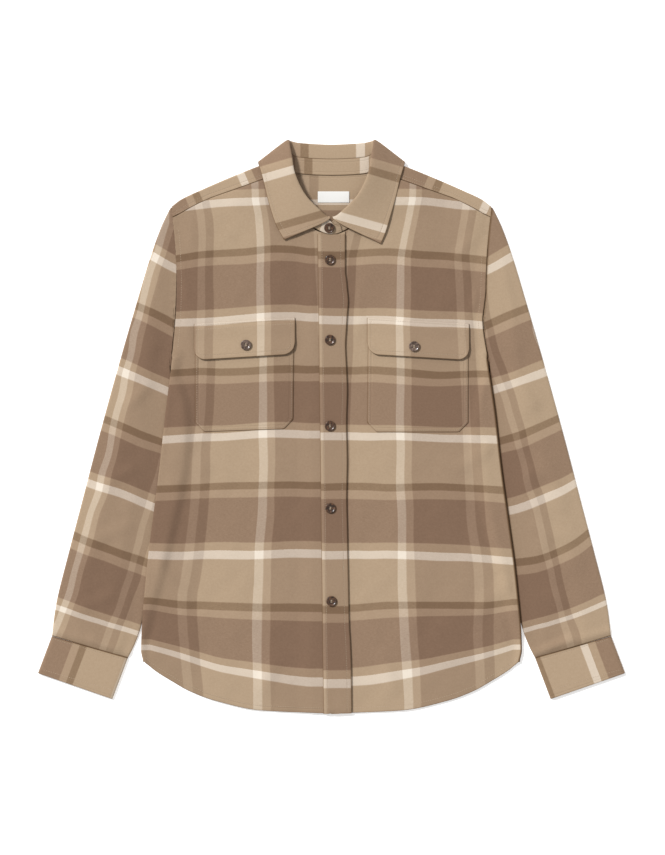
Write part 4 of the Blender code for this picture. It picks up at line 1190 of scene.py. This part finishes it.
LEAF_LINE, POINT_LINE = 1.89, 0.17
down = np.subtract(CUFF_END[0], CUFF_TOP[0])
for _, sign in SIDES:
    same_side = np.full_like(run, sign)
    on_collar(POINT_LINE + 3.9 * run, np.full_like(run, LEAF_LINE), same_side)
    on_collar(np.full_like(run, POINT_LINE), between(1.08, LEAF_LINE), same_side)
    for drop in (0.06, 0.88):
        outer, inner = (np.array(top) + down * drop for top in CUFF_TOP)
        line = outer + (inner - outer) * (0.05 + 0.9 * run)[:, None]
        sew(sign * line[:, 0], line[:, 1], CUFF_CLOTH * 2 + CUFF_GAP)

bm = bmesh.new()
total = sum(beads(bm, line) for line in stitch_lines)
topstitching = sewn_thread("topstitching", bm)
print("stitches:", total)

# %% [markdown]
# ## Buttons
#
# A shirt button is turned from a disc: a flat underside, a rounded rim and a dished face with
# four holes. The profile is spun once, four drills are cut from it with a Boolean, and the eight
# buttons are copies of that mesh. Two bars of doubled thread hold each one.

# %% The turned button
BUTTON_R, HOLE_R, HOLE_OUT, FACE_Z = 6.7, 0.85, 1.45, 1.95
PROFILE = [(0.0, 0.0), (4.6, 0.0), (5.6, 0.25), (6.35, 0.85), (6.68, 1.45), (6.66, 1.95),
           (6.35, 2.4), (5.95, 2.58), (5.5, 2.55), (5.05, 2.3), (4.5, 2.02), (3.6, 1.92), (0.0, 1.9)]
bm = bmesh.new()
verts = [bm.verts.new((r, 0.0, z)) for r, z in PROFILE]
edges = [bm.edges.new(pair) for pair in zip(verts, verts[1:])]
bmesh.ops.spin(bm, geom=verts + edges, cent=(0, 0, 0), axis=(0, 0, 1), angle=math.tau, steps=56,
               use_merge=True)
bmesh.ops.remove_doubles(bm, verts=bm.verts, dist=0.001)
bmesh.ops.recalc_face_normals(bm, faces=bm.faces)
blank = linked("button_blank", mesh_from("button_blank", bm))
bm = bmesh.new()
for k in range(4):
    spot = Matrix.Rotation(math.radians(45 + 90 * k), 4, "Z") @ Matrix.Translation((HOLE_OUT, 0, 1.3))
    bmesh.ops.create_cone(bm, cap_ends=True, segments=20, radius1=HOLE_R, radius2=HOLE_R, depth=4.0,
                          matrix=spot)
drills = linked("button_drills", mesh_from("button_drills", bm))
cutting = blank.modifiers.new("holes", "BOOLEAN")
cutting.object = drills
cutting.solver = "EXACT"
cutting.operation = "DIFFERENCE"
shaped = blank.evaluated_get(bpy.context.evaluated_depsgraph_get())
turned = bpy.data.meshes.new_from_object(shaped)
for made in (blank, drills):
    bpy.data.objects.remove(made)
print("button corners:", len(turned.vertices))

# %% The eight buttons and their thread
BAND_BUTTONS = [(-1.9, 213.4), (-1.9, 111.0), (-1.9, 1.0), (-1.3, -104.0), (0.0, -223.0)]
FLAP_BUTTONS = {"right": (-109.4, 104.6), "left": (105.6, 102.7)}
places = {}
for number, (x, y) in enumerate(BAND_BUTTONS, 1):
    top = float(front_z(np.array(x), np.array(y), True)) + PATCH_TOP
    places[f"band_button_{number}"] = Vector((x, y, top + PATCH_GAP)), Vector((0, 0, 1))
for name, (x, y) in FLAP_BUTTONS.items():
    top_y = POCKETS[name][0][1]
    at_y, depth = np.array(y - BUTTON_R), np.array(top_y - y + BUTTON_R + 1.0)
    foot = float(flap_z(np.array(x), at_y, depth, name == "right")) + PATCH / 2
    places["flap_button_" + name] = Vector((x, y, foot + PATCH_GAP)), Vector((0, 0, 1))
ends = [Vector(np.ravel(collar_point(np.array([a]), np.array([b]), np.array([-1.0]))))
        for a, b in ((0.1, 0.3), (0.2, 0.3), (0.1, 0.4))]
facing = (ends[1] - ends[0]).cross(ends[2] - ends[0]).normalized()
facing *= math.copysign(1.0, facing.z)
places["collar_button"] = ends[0] + facing * (COLLAR_CLOTH / 2 + PATCH_GAP), facing

buttons = {}
thread_bm = bmesh.new()
for number, (name, (spot, facing)) in enumerate(places.items()):
    turn = Vector((0, 0, 1)).rotation_difference(facing).to_matrix().to_4x4()
    place = in_frame(spot) @ turn @ Matrix.Rotation(math.radians(7.0 * (number % 3 - 1)), 4, "Z")
    mesh = turned.copy()
    mesh.transform(place)
    mesh.shade_smooth()
    mesh.set_sharp_from_angle(angle=math.radians(50))
    made = linked(name + "_turned", mesh)
    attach(made, "root")
    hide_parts(name)
    buttons[name] = made
    for off in (-0.3, 0.3):
        for side_y in (-1.0, 1.0):
            bar = place @ Matrix.Translation((0, side_y * HOLE_OUT * 0.707 + off, FACE_Z))
            bar = bar @ Matrix.Diagonal((1.45, 0.3, 0.42, 1.0))
            bmesh.ops.create_icosphere(thread_bm, subdivisions=2, radius=1.0, matrix=bar)
button_thread = sewn_thread("button_thread", thread_bm)

# %% [markdown]
# ## Material maths
#
# A material is a formula. The small class below wraps a socket, so that the formula can be
# written with + and *, and each sign adds its own Math node.

# %% Sockets that can be added and multiplied
class Value:
    """A number that changes over a surface."""

    def __init__(self, socket):
        self.socket = socket
        self.tree = socket.id_data

    def math(self, operation, *others):
        node = self.tree.nodes.new("ShaderNodeMath")
        node.operation = operation
        for k, item in enumerate((self,) + others):
            if isinstance(item, Value):
                self.tree.links.new(item.socket, node.inputs[k])
            else:
                node.inputs[k].default_value = item
        return Value(node.outputs[0])

    def __add__(self, other):
        return self.math("ADD", other)

    def __sub__(self, other):
        return self.math("SUBTRACT", other)

    def __mul__(self, other):
        return self.math("MULTIPLY", other)

    def __truediv__(self, other):
        return self.math("DIVIDE", other)

    def __rsub__(self, other):
        return (self * -1.0) + other

    __radd__ = __add__
    __rmul__ = __mul__


# %% A material and its nodes
class Finish:
    """A material with one method that adds any node."""

    def __init__(self, name, roughness, **constants):
        self.material = bpy.data.materials.new(name)
        self.material.use_nodes = True
        self.tree = self.material.node_tree
        self.shader = self.tree.nodes["Principled BSDF"]
        self.shader.inputs["Roughness"].default_value = roughness
        for socket, value in constants.items():
            self.shader.inputs[socket.replace("_", " ")].default_value = value

    def node(self, kind, settings=(), inputs=(), output=0):
        made = self.tree.nodes.new(kind)
        for key, value in dict(settings).items():
            setattr(made, key, value)
        for key, value in dict(inputs).items():
            if isinstance(value, Value):
                self.tree.links.new(value.socket, made.inputs[key])
            else:
                made.inputs[key].default_value = value
        return Value(made.outputs[output])

    def noise(self, where, scale, detail=2.0):
        return self.node("ShaderNodeTexNoise", (), {"Vector": where, "Scale": scale, "Detail": detail})

    def stripes(self, position, stops):
        """A colour ramp whose colours each fill a stretch, with a soft join."""
        made = self.tree.nodes.new("ShaderNodeValToRGB")
        ramp = made.color_ramp
        soft = 0.003
        spots = []
        for start, end, colour in stops:
            spots += [(max(start + soft, 0.0), colour), (min(end - soft, 1.0), colour)]
        ramp.elements[0].position, ramp.elements[1].position = spots[0][0], spots[-1][0]
        for spot, _ in spots[1:-1]:
            ramp.elements.new(spot)
        for element, (_, colour) in zip(ramp.elements, spots):
            element.color = (*(c / 255 for c in colour), 1.0)
        self.tree.links.new(position.socket, made.inputs[0])
        return Value(made.outputs[0])

    def mix(self, factor, a, b, blend="MIX"):
        return self.node("ShaderNodeMix", {"data_type": "RGBA", "blend_type": blend},
                         {0: factor, 6: a, 7: b}, output=2)

    def surface(self, **links):
        for socket, value in links.items():
            self.tree.links.new(value.socket, self.shader.inputs[socket.replace("_", " ")])


# %% [markdown]
# ## The flannel
#
# Each yarn stripe has its own colour. What the eye sees at a point is a mix of the warp yarn and
# the weft yarn there, with rather more of the weft, which is the softer one and is brushed up.
# The colours are mixed as the eye and the photograph mix them, and a Gamma node then turns them into
# light. The nap blurs the stripes' edges, and the twill shows only from close by. Close to each edge
# and seam the colour is darkened to a deep brown: that is painted shade for the shadow in the gaps
# between pieces.

# %% Colours of the yarn stripes
PALE, KHAKI, DARK, TAN = (227, 216, 202), (168, 146, 121), (114, 91, 68), (158, 134, 111)
BROWN, LIGHT = (121, 96, 78), (165, 142, 117)
# where each stripe starts and ends on the cloth, in millimetres, and its colour as the eye sees it
WEFT = [(0.4, 8.4, PALE), (8.4, 51, KHAKI), (51, 58.5, DARK), (58.5, 66.5, TAN), (66.5, 108.5, BROWN),
        (108.5, 116.4, LIGHT)]
WARP = [(0.3, 8.7, (220, 206, 187)), (8.7, 16, (156, 132, 109)), (16, 67, (111, 86, 67)),
        (67, 75.5, (149, 125, 103)), (75.5, 84.5, (115, 91, 71)), (84.5, 131.3, (162, 138, 112))]
WARP_SHARE = 0.39
# metres: a twill line's pitch, the width of painted shade at a seam, the stitches' inset and their
# groove's half
TWILL, SEAM_SHADE, STITCH_INSET, GROOVE_HALF = 0.0011, 0.0009, 0.005, 0.0012


def shares(stripes):
    start, whole = stripes[0][0], stripes[-1][1] - stripes[0][0]
    return [((a - start) / whole, (b - start) / whole, colour) for a, b, colour in stripes]


# %% Flannel
def flannel():
    f = Finish("flannel", 0.92, Sheen_Weight=0.12, Sheen_Roughness=0.6, Sheen_Tint=(0.8, 0.6, 0.4, 1))
    cut = f.node("ShaderNodeUVMap", {"uv_map": "cut"})
    here = f.node("ShaderNodeTexCoord", output=3)
    u = f.node("ShaderNodeSeparateXYZ", (), {0: cut}, 0)
    v = f.node("ShaderNodeSeparateXYZ", (), {0: cut}, 1)
    fuzz = f.noise(here, 1100.0, 3.0) - 0.5
    warp = f.stripes(((u + fuzz * TWILL) / (WARP_REPEAT * MM)).math("FRACT"), shares(WARP))
    weft = f.stripes(((v + fuzz * TWILL) / (WEFT_REPEAT * MM)).math("FRACT"), shares(WEFT))
    twill = ((u + v) * (math.tau / TWILL)).math("SINE")
    slub = f.noise(f.node("ShaderNodeCombineXYZ", (), {0: u * 260.0, 1: v * 2100.0}), 1.0, 3.0)
    share = WARP_SHARE + twill * 0.05 + (slub - 0.5) * 0.25
    colour = f.mix(share, weft, warp)
    heather = (f.noise(here, 420.0, 4.0) - 0.5) * 0.22 + (slub - 0.5) * 0.2 + 0.5
    grey = f.node("ShaderNodeCombineColor", (), {0: heather, 1: heather, 2: heather})
    colour = f.mix(0.5, colour, grey, "SOFT_LIGHT")
    edge = f.node("ShaderNodeAttribute", {"attribute_name": "edge"}, output=2)
    # painted shade: within SEAM_SHADE of an edge the cloth turns deep brown, for the shadow in the
    # gaps and under overhanging edges
    seam_painted_shade = 1 - (edge / SEAM_SHADE).math("MINIMUM", 1.0)
    colour = f.mix(seam_painted_shade * 0.8, colour, (0.34, 0.24, 0.14, 1.0))
    light = f.node("ShaderNodeGamma", (), {0: colour, 1: 2.2})
    nap = f.noise(here, 700.0, 5.0)
    groove = 1 - ((edge - STITCH_INSET).math("ABSOLUTE") / GROOVE_HALF).math("MINIMUM", 1.0)
    height = nap * 0.5 + twill * 0.12 + slub * 0.2 - groove * 0.9
    normal = f.node("ShaderNodeBump", (), {"Strength": 0.6, "Distance": 0.0005, "Height": height})
    f.surface(Base_Color=light, Normal=normal)
    return f.material


def dress(piece, material):
    piece.data.materials.clear()
    piece.data.materials.append(material)


flannel_cloth = flannel()
for piece in pieces.values():
    dress(piece, flannel_cloth)
print("pieces of flannel:", len(pieces))

# %% [markdown]
# ## Thread, buttons and label
#
# The band's buttons are a dark horn look: nearly black, with a warm brown in cloudy streaks, and a
# hard polish. The pocket buttons are the same shape in a lighter, pearly finish.

# %% Thread and horn
def plain_thread(name, colour):
    f = Finish(name, 0.75)
    here = f.node("ShaderNodeTexCoord", output=3)
    tone = f.noise(here, 900.0, 2.0) * 0.5 + 0.75
    f.surface(Base_Color=f.node("ShaderNodeCombineColor", (), {k: tone * colour[k] for k in range(3)}))
    return f.material


def horn(name, dark, light, roughness, coat):
    f = Finish(name, roughness, Coat_Weight=coat, Coat_Roughness=0.12, Specular_IOR_Level=0.3)
    here = f.node("ShaderNodeTexCoord", output=3)
    cloud = f.noise(here, 330.0, 3.0)
    swirl = f.node("ShaderNodeTexNoise", (),
                   {"Vector": here, "Scale": 700.0, "Detail": 2.0, "Distortion": 1.5})
    streak = ((cloud * 0.6 + swirl * 0.4 - 0.42) * 5.0).math("MAXIMUM", 0.0).math("MINIMUM", 1.0)
    f.surface(Base_Color=f.mix(streak, (*dark, 1.0), (*light, 1.0)))
    return f.material


sewing_thread = plain_thread("sewing thread", (0.46, 0.36, 0.26))
for made in (topstitching, button_thread):
    dress(made, sewing_thread)
dark_horn = horn("dark horn", (0.020, 0.011, 0.007), (0.13, 0.062, 0.032), 0.34, 0.3)
pearl_horn = horn("pearly horn", (0.045, 0.026, 0.018), (0.23, 0.16, 0.125), 0.28, 0.45)
for name, made in buttons.items():
    on_flap = name.startswith("flap")
    dress(made, pearl_horn if on_flap else dark_horn)

# %% Label tape
tape = Finish("label tape", 0.7, Base_Color=(0.8, 0.79, 0.76, 1))
dress(label, tape.material)

# %% [markdown]
# ## Table, light and camera
#
# The camera looks straight down, as in the photograph, through a long lens.

# %% Stage
TABLE_Z = -0.0002
bm = bmesh.new()
bmesh.ops.create_grid(bm, x_segments=1, y_segments=1, size=6.0)
bmesh.ops.translate(bm, verts=bm.verts, vec=(0, 0, TABLE_Z))
table_top = linked("table_top", mesh_from("table_top", bm))
paper = Finish("paper white", 0.9, Base_Color=(0.93, 0.93, 0.93, 1),
               Emission_Color=(1, 1, 1, 1), Emission_Strength=0.42)
table_top.data.materials.append(paper.material)

world = bpy.data.worlds.new("studio")
bpy.context.scene.world = world
world.use_nodes = True
sky = world.node_tree.nodes["Background"].inputs
sky["Color"].default_value = (1, 1, 1, 1)
sky["Strength"].default_value = 0.5

TOWARDS_LIGHT = Vector((-0.75, 0.62, 1.15))
key = bpy.data.lights.new("key", "SUN")
key.energy = 3.0
key.angle = math.radians(9)
linked("key", key).rotation_euler = (-TOWARDS_LIGHT).to_track_quat("-Z", "Y").to_euler()

# %% Camera
MM_PER_PIXEL, WIDE, HIGH, DISTANCE, SENSOR = 1.28, 665, 855, 8.0, 36.0
# the pixel of the photograph where the garment's x and y are zero
CENTRE_PIXEL = (331.5, 426.75)
lens = bpy.data.cameras.new("camera")
lens.sensor_width = SENSOR
lens.lens = SENSOR * DISTANCE / (HIGH * MM_PER_PIXEL * MM)
camera = linked("camera", lens)
camera.location = ((WIDE / 2 - CENTRE_PIXEL[0]) * MM_PER_PIXEL * MM,
                   (CENTRE_PIXEL[1] - HIGH / 2) * MM_PER_PIXEL * MM - PLAN_CENTRE_Y * MM, DISTANCE)
bpy.context.scene.camera = camera
bpy.context.scene.view_settings.view_transform = "Standard"

# %% [markdown]
# ## The pieces of cloth
#
# The cloth builder printed each piece's cut: the width and length of the smallest rectangle of cloth
# that it could be cut from, square to the piece's own length, and its real area, since none is a full
# rectangle. The collar's two strips go round the neck, so their lengths are measured along them. A
# sleeve and a cuff count all round. An allowance is 7 mm wide, and a sheet's width has to be given as
# 10 mm or more. Here the label joins the other pieces in the list.

# %% The label joins the pieces
pieces["label"] = label
